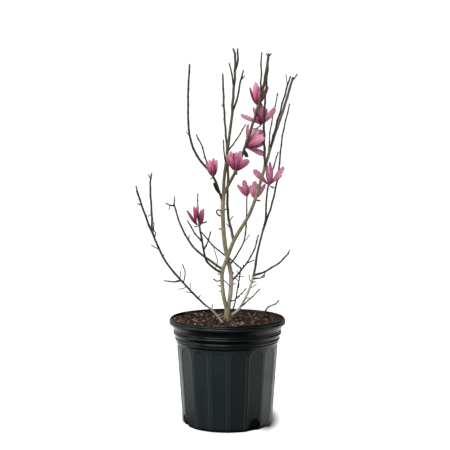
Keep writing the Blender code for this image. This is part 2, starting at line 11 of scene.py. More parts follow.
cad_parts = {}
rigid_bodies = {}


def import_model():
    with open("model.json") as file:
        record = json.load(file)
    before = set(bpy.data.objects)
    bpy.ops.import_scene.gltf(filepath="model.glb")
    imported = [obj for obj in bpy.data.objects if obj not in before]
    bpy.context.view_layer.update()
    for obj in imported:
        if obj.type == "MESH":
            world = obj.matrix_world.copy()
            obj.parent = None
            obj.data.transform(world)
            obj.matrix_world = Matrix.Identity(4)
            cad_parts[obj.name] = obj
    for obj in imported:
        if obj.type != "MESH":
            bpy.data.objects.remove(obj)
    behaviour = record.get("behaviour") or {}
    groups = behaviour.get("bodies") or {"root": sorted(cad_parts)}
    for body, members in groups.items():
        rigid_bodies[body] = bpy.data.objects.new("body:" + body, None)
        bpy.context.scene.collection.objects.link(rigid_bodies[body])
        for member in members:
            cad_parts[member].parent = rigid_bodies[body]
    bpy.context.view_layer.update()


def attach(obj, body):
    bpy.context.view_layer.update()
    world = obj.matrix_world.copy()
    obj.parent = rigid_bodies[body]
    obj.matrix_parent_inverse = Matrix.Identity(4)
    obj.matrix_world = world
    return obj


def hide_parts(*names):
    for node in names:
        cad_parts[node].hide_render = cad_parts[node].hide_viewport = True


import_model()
MM = 0.001


# Nursery pot
# Injection-moulded black plastic with a rolled lip, a collar, a bead under it and sixteen flat
# panels with round arched tops. Four arched drain holes are cut through the edge of its foot.
BODY_TOP_RADIUS = 117
FOOT_RADIUS = 103.4
BODY_TOP = 191.5
FOOT_ROUNDING = 12
PANELS = 16
PANEL_TURN = math.radians(12.4)
PANEL_HALF_ANGLE = math.radians(9.3)
PANEL_TOP = 188.8
PANEL_STEP = 0.5
EDGE_ROUNDING = 1.5
OUTLINE_HEIGHT = 0.35
OUTLINE_WIDTH = 0.9
# Painted shade on the rim: a share over all of it above RIM_FOOT, and more in its hollows, judged against the
# rings within RING_REACH and full at GROOVE_DEPTH inside them; mm
RIM_SHADE = 0.3
RIM_FOOT = 191.8
RING_REACH = 3.6
GROOVE_DEPTH = 3
DRAIN_ANGLES = (37, 109, 217, 289)
DRAIN_WIDTH = 31
DRAIN_HEIGHT = 27.5
RIM_PROFILE = (
    (126.8, 230), (129.2, 234.5), (129.6, 238), (129.6, 249.8), (130.1, 250.9), (130.8, 251.3),
    (131.5, 251.0), (131.8, 250.2), (131.6, 249.3), (131.0, 248.9), (131.4, 248.4), (133.0, 248.2),
    (134.0, 247.8), (134.5, 246.9), (134.5, 245.9), (134.0, 245.0), (133.1, 244.4), (133.1, 243.8),
    (134.3, 243.3), (134.9, 242.4), (135, 241), (135, 238.9), (134.7, 237.7), (133.9, 237.1),
    (130.6, 236.8), (127.4, 236.5), (126.2, 235.8), (125.9, 234.6), (125.9, 232), (125.6, 228),
    (125.1, 225.2), (124.2, 224.5), (123.6, 223.9), (124.2, 223.3), (125.2, 222.9), (125.5, 222.1),
    (125.3, 221.2), (124.3, 220.7), (123.3, 220.0), (123.5, 219.2), (124.7, 218.6), (125.5, 217.6),
    (125.6, 216.2), (125.3, 214.6), (124.2, 213.4), (121.4, 212.4), (120.3, 211.2), (120.1, 207.0),
    (120.4, 205.8), (121.5, 205.3), (122.1, 204.5), (122.1, 203.4), (121.4, 202.4), (120.0, 201.5),
    (119.2, 200.7), (119.2, 199.8), (119.7, 198.9), (119.7, 197.4), (119.0, 195.6), (118.0, 194.0),
    (117.3, 192.8),
)


def cone_radius(height):
    """The pot body's radius at a height."""
    return FOOT_RADIUS + (BODY_TOP_RADIUS - FOOT_RADIUS) * height / BODY_TOP


def panel_edge(turn, height):
    """How far a place on the pot's side lies outside its panel's arched outline; negative inside it."""
    across = cone_radius(height) * turn
    half = cone_radius(height) * PANEL_HALF_ANGLE
    arch = BODY_TOP_RADIUS * PANEL_HALF_ANGLE
    springing = PANEL_TOP - arch
    sides = np.abs(across) - half
    top = np.hypot(across, height - springing) - arch
    return np.where(height > springing, top, sides)


def pot_rows():
    """The pot's section as rows of radius, height and how much of the panels' depth each row has."""
    wall = 2.6
    rows = [(cone_radius(0) - FOOT_ROUNDING, 3.0, 0), (cone_radius(12) - wall, 12, 0)]
    rows += [(cone_radius(185) - wall, 185, 0), (117.2, 203, 0), (117.6, 214, 0), (122.4, 222, 0)]
    rows.append((122.9, 228, 0))
    rows += [(radius, height, 0) for radius, height in RIM_PROFILE]
    heights = list(np.arange(BODY_TOP, 162, -0.9)) + list(np.arange(160, FOOT_ROUNDING, -8.0))
    rows += [(cone_radius(height), height, 1) for height in heights]
    for i in range(10):
        angle = math.radians(90 * i / 9)
        around = FOOT_RADIUS - FOOT_ROUNDING + FOOT_ROUNDING * math.cos(angle) + 0.87 * math.cos(angle)
        rows.append((around, FOOT_ROUNDING * (1 - math.sin(angle)), math.cos(angle)))
    rows += [(82, 0, 0), (80.5, 0.5, 0), (79.5, 1.6, 0), (40, 1.8, 0), (6, 1.8, 0), (4.5, 1.2, 0)]
    return rows


def sunk(rows):
    """How much painted shade each row of the rim gets: some all over it, more the deeper it lies inside the
    rings by it, and full shade once it lies GROOVE_DEPTH inside them.
    """
    depth = []
    for radius, height, share in rows:
        by_it = max(r for r, h, _ in rows if abs(h - height) < RING_REACH)
        dark = RIM_SHADE + (by_it - radius) / GROOVE_DEPTH
        depth.append(0 if share or height < RIM_FOOT else min(1, dark))
    return depth


def pot_turns():
    """Angles across one panel, closer together at its edges, and the angles of the panels' middles."""
    steps = (0, 2.4, 4.6, 6.4, 7.6, 8.3, 8.8, 9.15, 9.45, 9.8, 10.2, 10.7)
    half = [math.radians(step) for step in steps]
    one = [-turn for turn in half[:0:-1]] + half + [math.pi / PANELS]
    return one, [PANEL_TURN + 2 * math.pi * i / PANELS for i in range(PANELS)]


def capped_rings(rings, around, first, start, end):
    """Faces between rings of vertices; the first ring closes on the vertex start, the last on end."""
    last = first + (rings - 1) * around
    turns = [(k, (k + 1) % around) for k in range(around)]
    faces = [(ring + k, ring + after, ring + around + after, ring + around + k)
             for ring in range(first, last, around) for k, after in turns]
    faces += [(start, first + after, first + k) for k, after in turns]
    return faces + [(end, last + k, last + after) for k, after in turns]


def pot_mesh():
    """The pot's closed skin, turned from its section, with its outlines and the painted shade of the rim's
    hollows noted.
    """
    rows = pot_rows()
    local, centres = pot_turns()
    turn = np.array([t for _ in centres for t in local])
    angle = np.array([centre + t for centre in centres for t in local])
    points = []
    outline = []
    grooves = np.repeat(sunk(rows), len(angle))
    for radius, height, share in rows:
        reach = np.full(len(angle), float(radius))
        line = np.zeros(len(angle))
        if share:
            edge = panel_edge(turn, height)
            flat = (cone_radius(height) * math.cos(PANEL_HALF_ANGLE) - PANEL_STEP) / np.cos(turn)
            depth = cone_radius(height) - flat
            inside = np.clip(0.5 - edge / EDGE_ROUNDING, 0, 1)
            inside = inside * inside * (3 - 2 * inside)
            line = np.exp(-((edge - 0.6) / OUTLINE_WIDTH) ** 2)
            reach -= depth * inside * share
            reach += OUTLINE_HEIGHT * line * share
        points.append(np.stack([
            np.sin(angle) * reach, -np.cos(angle) * reach, np.full(len(angle), height)], 1))
        outline.append(line * share)
    verts = np.concatenate(points + [[(0, 0, 3.0), (0, 0, 1.0)]]) * MM
    faces = capped_rings(len(rows), len(angle), 0, len(verts) - 2, len(verts) - 1)
    mesh = mesh_of("nursery_pot", verts.tolist(), faces)
    note(mesh, "outline", np.concatenate(outline + [np.zeros(2)]))
    note(mesh, "groove", np.concatenate([grooves, np.zeros(2)]))
    return mesh


def mesh_of(name, verts, faces=()):
    """A new mesh from its vertices and faces."""
    made = bpy.data.meshes.new(name)
    made.from_pydata(verts, [], faces)
    return made


def mesh_from(name, shape):
    """A new mesh from a finished shape, which is let go."""
    made = bpy.data.meshes.new(name)
    shape.to_mesh(made)
    shape.free()
    return made


def note(mesh, name, values, kind="FLOAT"):
    """Stores a number or a vector on each of the mesh's points."""
    made = mesh.attributes.new(name, kind, "POINT")
    made.data.foreach_set("value" if kind == "FLOAT" else "vector", np.asarray(values, np.float32).ravel())


def placed(name, data):
    """A new object in the scene."""
    made = bpy.data.objects.new(name, data)
    bpy.context.scene.collection.objects.link(made)
    return made


def turned_out(shape, smooth=True):
    """Turns every face of a shape outwards and shades it smooth or flat."""
    bmesh.ops.recalc_face_normals(shape, faces=shape.faces)
    for face in shape.faces:
        face.smooth = smooth
    return shape


def outward(mesh, smooth=True):
    """Turns every face of a mesh outwards and shades it smooth or flat."""
    shape = bmesh.new()
    shape.from_mesh(mesh)
    turned_out(shape, smooth).to_mesh(mesh)
    shape.free()
    return mesh


def applied(thing):
    """The object's evaluated mesh put back as its own plain mesh, with no modifiers left."""
    bpy.context.view_layer.update()
    evaluated = thing.evaluated_get(bpy.context.evaluated_depsgraph_get())
    mesh = bpy.data.meshes.new_from_object(evaluated, preserve_all_data_layers=True,
                                           depsgraph=bpy.context.evaluated_depsgraph_get())
    name = thing.name
    bpy.data.objects.remove(thing, do_unlink=True)
    mesh.name = name
    return placed(name, mesh)


def drain_blades():
    """Arched blades standing at the drain holes' places, as one mesh for cutting."""
    shape = bmesh.new()
    half = DRAIN_WIDTH / 2
    arch = [(half * math.cos(a), DRAIN_HEIGHT - half + half * math.sin(a))
            for a in np.linspace(0, math.pi, 17)]
    arch += [(-half, -4), (half, -4)]
    for degrees in DRAIN_ANGLES:
        turn = Matrix.Rotation(math.radians(degrees), 4, "Z")
        rings = []
        for depth in (FOOT_RADIUS + 4, FOOT_RADIUS - 13):
            rings.append([shape.verts.new(turn @ Vector((x * MM, -depth * MM, z * MM))) for x, z in arch])
        shape.faces.new(rings[0])
        shape.faces.new(rings[1][::-1])
        for k in range(len(arch)):
            after = (k + 1) % len(arch)
            shape.faces.new((rings[0][k], rings[1][k], rings[1][after], rings[0][after]))
    return placed("drain_blades", outward(mesh_from("drain_blades", shape), smooth=False))


def node_in(tree, kind, values=None, out=None, **settings):
    """Adds a node, its inputs set by name or number; gives the output named or its first live one."""
    made = tree.nodes.new(kind)
    for key, value in settings.items():
        setattr(made, key, value)
    for key, value in (values or {}).items():
        socket = made.inputs[key] if isinstance(key, int) else next(
            s for s in made.inputs if s.enabled and s.name == key)
        if isinstance(value, bpy.types.NodeSocket):
            tree.links.new(value, socket)
        else:
            socket.default_value = value
    return made.outputs[out] if out else next(s for s in made.outputs if s.enabled)


def math_in(tree, operation, *terms):
    """One operation on numbers."""
    return node_in(tree, "ShaderNodeMath", dict(enumerate(terms)), operation=operation)


def vector_in(tree, operation, *terms):
    """One operation on vectors."""
    return node_in(tree, "ShaderNodeVectorMath", dict(enumerate(terms)), operation=operation)


def range_in(tree, value, before, after):
    """Maps a value from one span to another and holds it there."""
    return node_in(tree, "ShaderNodeMapRange", {
        "Value": value, "From Min": before[0], "From Max": before[1], "To Min": after[0], "To Max": after[1]})


def noise_in(tree, place, scale, detail, roughness=0.5):
    """Smooth noise at a place."""
    return node_in(tree, "ShaderNodeTexNoise", {
        "Vector": place, "Scale": scale, "Detail": detail, "Roughness": roughness})


def mix_in(tree, factor, first, second, blend="MIX"):
    """One colour laid over another."""
    return node_in(tree, "ShaderNodeMix", {"Factor": factor, "A": first, "B": second},
                   data_type="RGBA", blend_type=blend)


def stored_in(tree, name):
    """A number stored on the mesh, as the shader reads it."""
    return node_in(tree, "ShaderNodeAttribute", out="Fac", attribute_name=name)


def ramp_in(tree, factor, stops):
    """A colour ramp from (place, colour) stops."""
    made = tree.nodes.new("ShaderNodeValToRGB")
    while len(made.color_ramp.elements) < len(stops):
        made.color_ramp.elements.new(0.5)
    for element, (place, colour) in zip(made.color_ramp.elements, stops):
        element.position = place
        element.color = (*colour, 1)
    tree.links.new(factor, made.inputs["Fac"])
    return made.outputs["Color"]


def new_finish(name, roughness, specular):
    """A material with its steady values; gives it, its tree, its shader and the object's coordinates."""
    made = bpy.data.materials.new(name)
    made.use_nodes = True
    shader = made.node_tree.nodes["Principled BSDF"]
    shader.inputs["Roughness"].default_value = roughness
    shader.inputs["Specular IOR Level"].default_value = specular
    return made, made.node_tree, shader, node_in(made.node_tree, "ShaderNodeTexCoord", out="Object")


def wire(tree, shader, colour, relief, strength, depth):
    """Joins a finish's colour to its shader, and its fine relief with a strength and a depth in mm."""
    tree.links.new(colour, shader.inputs["Base Color"])
    if strength:
        bump = node_in(tree, "ShaderNodeBump", {
            "Strength": strength, "Distance": depth * MM, "Height": relief})
        tree.links.new(bump, shader.inputs["Normal"])


def moulded_plastic(name, specular, smoothest):
    """Black plastic with a fine moulded grain, faint wipe marks, greyer arch outlines that are a painted
    highlight along their ridges, and painted shade in the rim's hollows.
    """
    made, tree, shader, place = new_finish(name, smoothest, specular)
    drawn = node_in(tree, "ShaderNodeMapping", {"Vector": place, "Scale": (1, 1, 0.12)})
    tone = ramp_in(tree, noise_in(tree, drawn, 55, 4, 0.6), (
        (0.3, (0.0082, 0.0140, 0.0150)), (0.7, (0.0130, 0.0205, 0.0210))))
    # A painted highlight: the arch outlines are mixed towards a lighter grey along their ridges.
    ridge_highlight = math_in(tree, "MULTIPLY", stored_in(tree, "outline"), 0.8)
    ridge_highlighted = mix_in(tree, ridge_highlight, tone, (0.045, 0.053, 0.049, 1))
    # Painted shade: the rim's rows are mixed towards black, most in the hollows between its rings.
    groove_shaded = mix_in(tree, stored_in(tree, "groove"), ridge_highlighted, (0.0004, 0.0006, 0.0007, 1))
    dust = noise_in(tree, place, 26, 5, 0.65)
    rough = range_in(tree, dust, (0.3, 0.7), (smoothest, smoothest + 0.14))
    tree.links.new(rough, shader.inputs["Roughness"])
    grain = math_in(tree, "MULTIPLY_ADD", noise_in(tree, drawn, 90, 2), 1.5, noise_in(tree, place, 900, 3))
    wire(tree, shader, groove_shaded, grain, 0.25, 0.12)
    return made


pot = placed("nursery_pot", outward(pot_mesh()))
blades = drain_blades()
holes = pot.modifiers.new("Drain", "BOOLEAN")
holes.operation = "DIFFERENCE"
holes.solver = "EXACT"
holes.object = blades
pot = applied(pot)
bpy.data.objects.remove(blades, do_unlink=True)
pot.data.materials.clear()
pot.data.materials.append(moulded_plastic("moulded_black_plastic", 0.5, 0.30))
pot.data.materials.append(moulded_plastic("clean_rim_plastic", 0.3, 0.14))
for face in pot.data.polygons:
    face.material_index = 1 if face.center.z > RIM_FOOT * MM else 0
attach(pot, "root")
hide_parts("pot")


# Bark mulch
# Damp, dark red-brown fine bark fills the pot nearly to its rim, sunk a little round the trunk. A lumpy,
# nearly black bed lies under thousands of loose splinters in four tones, scattered by seeded rules; the bed's
# black and the darkest splinters are dark bark and also painted shade in the gaps.
BED_HEIGHT = 240.4
BED_RISE = 4.6
BED_LUMPS = 1.2
WALL_RADIUS = 129.4
BED_SECTION = (
    (129.2, 243), (128.8, 236), (126, 230), (122.2, 227), (116.8, 213), (116.4, 203), (113.2, 185),
    (100.2, 12), (88, 3.5), (0, 3.5),
)
CHIP_TONES = {
    # The near-black first tone is dark wet bark and also painted shade in the gaps between the splinters
    "wet_bark": ((0.003, 0.0014, 0.0011), 21000, 11),
    "red_bark": ((0.060, 0.023, 0.014), 12500, 12),
    "brown_bark": ((0.150, 0.080, 0.052), 7200, 13),
    "dry_bark": ((0.42, 0.30, 0.215), 2300, 14),
}


def bed_mesh():
    """The bed's lumpy top and the plain sides and floor that fill the pot."""
    rings = 46
    around = 120
    verts = []
    for ring in range(1, rings + 1):
        radius = WALL_RADIUS * (ring / rings) ** 0.85
        level = BED_HEIGHT + BED_RISE * (radius / WALL_RADIUS) ** 2
        for k in range(around):
            angle = 2 * math.pi * k / around
            x = radius * math.cos(angle)
            y = radius * math.sin(angle)
            lump = noise.noise(Vector((x, y, 0)) * 0.05) + 0.7 * noise.noise(Vector((x, y, 9)) * 0.17)
            verts.append((x * MM, y * MM, (level + BED_LUMPS * lump) * MM))
    for radius, height in BED_SECTION[:-1]:
        for k in range(around):
            angle = 2 * math.pi * k / around
            verts.append((radius * math.cos(angle) * MM, radius * math.sin(angle) * MM, height * MM))
    verts += [(0, 0, BED_HEIGHT * MM), (0, 0, BED_SECTION[-1][1] * MM)]
    faces = capped_rings(rings + len(BED_SECTION) - 1, around, 0, len(verts) - 2, len(verts) - 1)
    return outward(mesh_of("bark_bed", verts, faces))


def chip_shapes(count):
    """Splinters of bark: short uneven prisms with torn ends, lying along X."""
    rng = random.Random(5)
    shapes = bpy.data.collections.new("chip_shapes")
    for index in range(count):
        length = rng.uniform(2.4, 3.8)
        width = rng.uniform(1.1, 1.7)
        thick = rng.uniform(0.5, 0.95)
        verts = []
        for step, share in ((-1, 0.55), (rng.uniform(-0.2, 0.3), 1), (1, 0.45)):
            for k in range(5):
                angle = 2 * math.pi * k / 5 + 0.3
                verts.append((
                    (step * length + rng.uniform(-0.5, 0.5)) * MM,
                    (math.cos(angle) * width * share + rng.uniform(-0.2, 0.2)) * MM,
                    (math.sin(angle) * thick * share + rng.uniform(-0.12, 0.12)) * MM,
                ))
        faces = [(0, 1, 2, 3, 4), (14, 13, 12, 11, 10)]
        for ring in (0, 5):
            for k in range(5):
                after = (k + 1) % 5
                faces.append((ring + k, ring + 5 + k, ring + 5 + after, ring + after))
        mesh = outward(mesh_of(f"chip_{index}", verts, faces), smooth=False)
        shapes.objects.link(bpy.data.objects.new(mesh.name, mesh))
    return shapes


def new_tree(name, inputs):
    """A Geometry Nodes tree with named inputs; gives the tree and its inputs."""
    tree = bpy.data.node_groups.new(name, "GeometryNodeTree")
    tree.interface.new_socket("Geometry", in_out="INPUT", socket_type="NodeSocketGeometry")
    for title, kind, value in inputs:
        socket = tree.interface.new_socket(title, in_out="INPUT", socket_type=f"NodeSocket{kind}")
        if value is not None:
            socket.default_value = value
    tree.interface.new_socket("Geometry", in_out="OUTPUT", socket_type="NodeSocketGeometry")
    return tree, tree.nodes.new("NodeGroupInput").outputs


def end_tree(tree, given, geometry):
    """Ends a tree: its instances are made real and its finish is set."""
    real = node_in(tree, "GeometryNodeRealizeInstances", {"Geometry": geometry})
    done = node_in(tree, "GeometryNodeSetMaterial", {"Geometry": real, "Material": given["Finish"]})
    tree.links.new(done, tree.nodes.new("NodeGroupOutput").inputs[0])
    return tree


def run_tree(thing, tree, values):
    """Runs a tree on an object with its named inputs set, and leaves a plain mesh."""
    work = thing.modifiers.new(tree.name, "NODES")
    work.node_group = tree
    for item in tree.interface.items_tree:
        if item.item_type == "SOCKET" and item.in_out == "INPUT" and item.name in values:
            work[item.identifier] = values[item.name]
    return applied(thing)


def scatter_tree():
    """Scatters shapes over the level part of a surface, but not on the plant's foot."""
    tree, given = new_tree("scatter_chips", (
        ("Shapes", "Collection", None), ("Finish", "Material", None), ("Density", "Float", 40000.0),
        ("Seed", "Int", 1), ("Smallest", "Float", 0.6), ("Largest", "Float", 1.85), ("Tilt", "Float", 0.5),
        ("Lift", "Float", 0.0006), ("Foot", "Vector", (0, 0, 0)), ("Foot radius", "Float", 0.011),
    ))
    seed = given["Seed"]
    tilt = given["Tilt"]
    upward = node_in(tree, "ShaderNodeSeparateXYZ", {0: node_in(tree, "GeometryNodeInputNormal")}, "Z")
    level = node_in(tree, "FunctionNodeCompare", {0: upward, 1: 0.6}, operation="GREATER_THAN")
    away = vector_in(tree, "DISTANCE", node_in(tree, "GeometryNodeInputPosition"), given["Foot"])
    clear = node_in(tree, "FunctionNodeCompare", {0: away, 1: given["Foot radius"]}, operation="GREATER_THAN")
    allowed = node_in(tree, "FunctionNodeBooleanMath", {0: level, 1: clear}, operation="AND")
    spread = node_in(tree, "GeometryNodeDistributePointsOnFaces", {
        "Mesh": given["Geometry"], "Selection": allowed, "Density": given["Density"], "Seed": seed})
    back = math_in(tree, "MULTIPLY", tilt, -1.0)
    low = node_in(tree, "ShaderNodeCombineXYZ", {0: back, 1: back, 2: 0.0})
    high = node_in(tree, "ShaderNodeCombineXYZ", {0: tilt, 1: tilt, 2: 2 * math.pi})
    turn = node_in(tree, "FunctionNodeRandomValue", {0: low, 1: high, "Seed": seed}, data_type="FLOAT_VECTOR")
    size = node_in(tree, "FunctionNodeRandomValue", {
        2: given["Smallest"], 3: given["Largest"], "Seed": seed}, data_type="FLOAT")
    lifted = node_in(tree, "ShaderNodeCombineXYZ", {2: given["Lift"]})
    points = node_in(tree, "GeometryNodeSetPosition", {"Geometry": spread, "Offset": lifted})
    shapes = node_in(tree, "GeometryNodeCollectionInfo", {
        "Collection": given["Shapes"], "Separate Children": True, "Reset Children": True})
    return end_tree(tree, given, node_in(tree, "GeometryNodeInstanceOnPoints", {
        "Points": points, "Instance": shapes, "Pick Instance": True, "Rotation": turn, "Scale": size}))


def shades(colour, dark, light, top=0.7):
    """Two ramp stops, a tone darkened and lightened."""
    return (0.3, tuple(c * dark for c in colour)), (top, tuple(min(1, c * light) for c in colour))


def mottled(name, stops, roughness, specular, scale, grain=0.5, strength=0, depth=0, fibres=None):
    """A mottled finish whose mottle, or finer fibres, is its relief too; gives it and its shader."""
    made, tree, shader, place = new_finish(name, roughness, specular)
    mottle = noise_in(tree, place, scale, 4, grain)
    relief = noise_in(tree, place, fibres, 3) if fibres else mottle
    wire(tree, shader, ramp_in(tree, mottle, stops), relief, strength, depth)
    return made, shader


def bark_finish(name, colour):
    """Damp bark: its tone mottled, with rough fibres and a faint wet shine."""
    return mottled(name, shades(colour, 0.55, 1.5, 0.72), roughness=0.75, specular=0.35,
                   scale=260, grain=0.7, strength=0.6, depth=0.2, fibres=1400)[0]


def joined(name, things):
    """Joins plain mesh objects into one, each keeping its materials and attributes."""
    for thing in bpy.context.view_layer.objects:
        thing.select_set(thing in things)
    bpy.context.view_layer.objects.active = things[0]
    with bpy.context.temp_override(
            active_object=things[0], selected_editable_objects=things, selected_objects=things):
        bpy.ops.object.join()
    things[0].name = name
    things[0].data.name = name
    return things[0]


def places_of(mesh):
    """The mesh's vertices as rows of x, y and z."""
    flat = np.empty(len(mesh.vertices) * 3)
    mesh.vertices.foreach_get("co", flat)
    return flat.reshape(-1, 3)


shapes = chip_shapes(7)
scatter = scatter_tree()
layers = []
for tone, (colour, density, seed) in CHIP_TONES.items():
    layers.append(run_tree(placed(f"{tone}_chips", bed_mesh()), scatter, {
        "Shapes": shapes, "Finish": bark_finish(tone, colour), "Density": density, "Seed": seed,
        "Foot": (2 * MM, 0, BED_HEIGHT * MM)}))
chips = joined("bark_chips", layers)
# Splinters that would poke through the pot's wall are pressed back inside it
ends = places_of(chips.data)
reach = np.maximum(np.hypot(ends[:, 0], ends[:, 1]), MM)
ends[:, :2] *= np.minimum(1, WALL_RADIUS * MM / reach)[:, None]
chips.data.vertices.foreach_set("co", ends.ravel())
chips.data.update()
bed = placed("bark_bed", bed_mesh())
# The bed is nearly black: a dark bark tone and painted shade in the gaps between the splinters and behind the
# drain holes.
bed.data.materials.append(bark_finish("bark_fines", (0.004, 0.0022, 0.002)))
for piece in (bed, chips):
    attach(piece, "root")
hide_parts("soil")


# Trunk and boughs
# Living wood under smooth, khaki-grey young bark with fine cracks and pale pores. The limbs grow out
# of one another, so their tubes are fused and the forks between them are softened into one skin.
SIDES = 14
RING_STEP = 3
COLLAR = 0.32
BOUGH_STOUTNESS = 1.07
COLLAR_LENGTH = 7
TRUNK_HEIGHT = 33
TRUNK_RADIUS = 7.1
TRUNK_FLARE = 2.4
TRUNK_FOOT = 242
TRUNK_LEAN = 0.03
TRUNK_SHIFT = -0.5
FLARE_HEIGHT = 9
SKIN_VOXEL = 0.75 * MM
SKIN_SMOOTHING = 7
KNOT_SPACING = 27
KNOT_SWELLING = (0.25, 0.55)
KNOT_WIDTH = 1.9
UNEVENNESS = 0.045
# Each bough: its host, the height it leaves at (None is the tip), radius at foot and tip, guide points; mm
BOUGHS = {
    "front_stem": ("trunk", 254, 4.5, 3.3, (
        (-3, -2, 276), (-6.9, -3, 291), (-10, -5, 308), (-12.5, -8, 340), (-11.5, -9, 360), (-2, -9, 387),
        (16, -7, 433), (54, 5, 498), (91, 26, 612))),
    "back_stem": ("trunk", 255, 4.8, 4.7, (
        (2.2, 2, 276), (5, 4, 291), (7.2, 5, 308), (8.6, 7, 336), (7.4, 8, 356), (-6, 6, 422), (-11, 2, 497),
        (-9, 0, 539))),
    "leader": ("back_stem", None, 3.7, 2.9, ((-8, 4, 569), (-3, 9, 610), (4, 15, 667), (10, 20, 713))),
    "middle_bough": ("back_stem", None, 3.7, 3.1, ((1, -6, 557), (21, -14, 596), (43, -20, 655))),
    "low_left_bough": ("trunk", 238, 2.3, 2.3, (
        (-6, -10, 235.5), (-10.5, -16, 240.5), (-24, -17, 258), (-37, -20, 272), (-55, -26, 287),
        (-95, -45, 331), (-140, -66, 389), (-165, -80, 444))),
    "low_right_bough": ("trunk", 250, 3.2, 2.2, (
        (27, 12, 269), (53, 31, 317), (65, 43, 359), (70, 50, 393), (91, 62, 476))),
    "back_bough": ("trunk", 256, 1.7, 1.6, ((14, 12, 271), (25, 22, 322), (32, 30, 365))),
    "left_root": ("trunk", 257, 4.2, 1.6, ((-6, -6, 247), (-15, -14, 240), (-24, -22, 236))),
    "front_root": ("trunk", 254, 4.0, 1.8, ((2, -7, 246), (4, -14, 240), (6, -24, 236))),
    "right_root": ("trunk", 260, 3.8, 1.6, ((7, -4, 248), (14, -10, 241), (24, -17, 236))),
    "back_root": ("trunk", 255, 4.2, 1.8, ((2, 8, 246), (0, 15, 240), (-2, 25, 236))),
}
# Weathered, paler lengths of limbs, as heights and how pale the bark is there
BLEACHED = {
    "low_left_bough": ((238, 0.75), (276, 0.65), (290, 0)),
    "low_right_bough": ((243, 0), (250, 0.8), (335, 0.8), (352, 0)),
    "front_stem": ((276, 0), (304, 0.30), (340, 0.22), (420, 0.05), (500, 0.1), (612, 0.26)),
    "back_stem": ((276, 0), (304, 0.42), (345, 0.42), (390, 0.05)),
    "right_top": ((612, 0.26), (700, 0.26), (770, 0.04)),
}
# Round the trunk's foot no bark is bleached, out to this radius and up to this height; mm
BARE_FOOT = 9
BARE_HEIGHT = 262


class Limb:
    """One tapering limb: a smooth path in mm, a radius at each of its points, and its bleached stops."""

    def __init__(self, path, radii, stops=((0, 0),)):
        self.path = path
        self.radii = radii
        self.stops = stops

    def at_height(self, height):
        """Where the limb first reaches a height, or its tip if it never does."""
        for a, b in zip(self.path, self.path[1:]):
            if b.z >= height:
                return a.lerp(b, max(0, (height - a.z) / (b.z - a.z)))
        return self.path[-1]


def along_path(path):
    """How far along a path each of its points lies."""
    lengths = [0]
    for a, b in zip(path, path[1:]):
        lengths.append(lengths[-1] + (b - a).length)
    return lengths


def smooth_path(points, step):
    """Evenly spaced points on a smooth curve through the guide points."""
    ends = [2 * points[0] - points[1]] + points + [2 * points[-1] - points[-2]]
    fine = []
    for before, start, end, after in zip(ends, ends[1:], ends[2:], ends[3:]):
        span = (end - start).length
        leave = (end - before) * span / (span + (start - before).length)
        arrive = (after - start) * span / ((after - end).length + span)
        for i in range(16):
            t = i / 16
            fine.append(start * (2 * t ** 3 - 3 * t ** 2 + 1) + leave * (t ** 3 - 2 * t ** 2 + t)
                        + end * (3 * t ** 2 - 2 * t ** 3) + arrive * (t ** 3 - t ** 2))
    fine.append(points[-1])
    lengths = along_path(fine)
    count = max(2, round(lengths[-1] / step))
    path = []
    k = 0
    for i in range(count + 1):
        along = lengths[-1] * i / count
        while k < len(fine) - 2 and lengths[k + 1] < along:
            k += 1
        share = (along - lengths[k]) / max(lengths[k + 1] - lengths[k], 1e-9)
        path.append(fine[k].lerp(fine[k + 1], min(share, 1)))
    return path


def grow(host, leaves_at, foot, tip, route, spare=0, step=RING_STEP):
    """A limb from its host's axis through its guide points, stopping a bud's length short of the last."""
    points = [Vector(point) for point in route]
    if host:
        points.insert(0, host.path[-2] if leaves_at is None else host.at_height(leaves_at))
    points[-1] = points[-1] - (points[-1] - points[-2]).normalized() * spare
    path = smooth_path(points, step)
    last = len(path) - 1
    return Limb(path, [foot + (tip - foot) * i / last for i in range(last + 1)])


def trunk_limb():
    """The short trunk, flared at its foot and leaning a little to the right."""
    heights = [TRUNK_HEIGHT * i / 15 for i in range(-2, 16)]
    path = [Vector((TRUNK_LEAN * max(0, h) + TRUNK_SHIFT, 0, TRUNK_FOOT + h)) for h in heights]
    return Limb(path, [TRUNK_RADIUS + TRUNK_FLARE * math.exp(-max(h, 0) / FLARE_HEIGHT) for h in heights])


def fleshed(limb, rng, knots, collar=COLLAR, stoutness=1.0):
    """The limb's radii with a collar at its foot, low swellings at its knots and a little unevenness."""
    drift = rng.uniform(0, 100)
    radii = []
    for along, radius in zip(along_path(limb.path), limb.radii):
        radius = radius * stoutness * (1 + collar * math.exp(-along / COLLAR_LENGTH))
        radius *= 1 + UNEVENNESS * noise.noise(Vector((along * 0.05, drift, 0)))
        for knot, swell in knots:
            radius += swell * math.exp(-((along - knot) / KNOT_WIDTH) ** 2)
        radii.append(radius)
    return Limb(limb.path, radii, limb.stops)


def limb_curves(name, limbs):
    """All limbs as open splines of one curve object; each point's tilt says how bleached it is."""
    curve = bpy.data.curves.new(name, "CURVE")
    curve.dimensions = "3D"
    for limb in limbs:
        spline = curve.splines.new("POLY")
        spline.points.add(len(limb.path) - 1)
        for point, place, radius in zip(spline.points, limb.path, limb.radii):
            point.co = (*(place * MM), 1)
            point.radius = radius * MM
            point.tilt = np.interp(place.z, *zip(*limb.stops))
    return placed(name, curve)


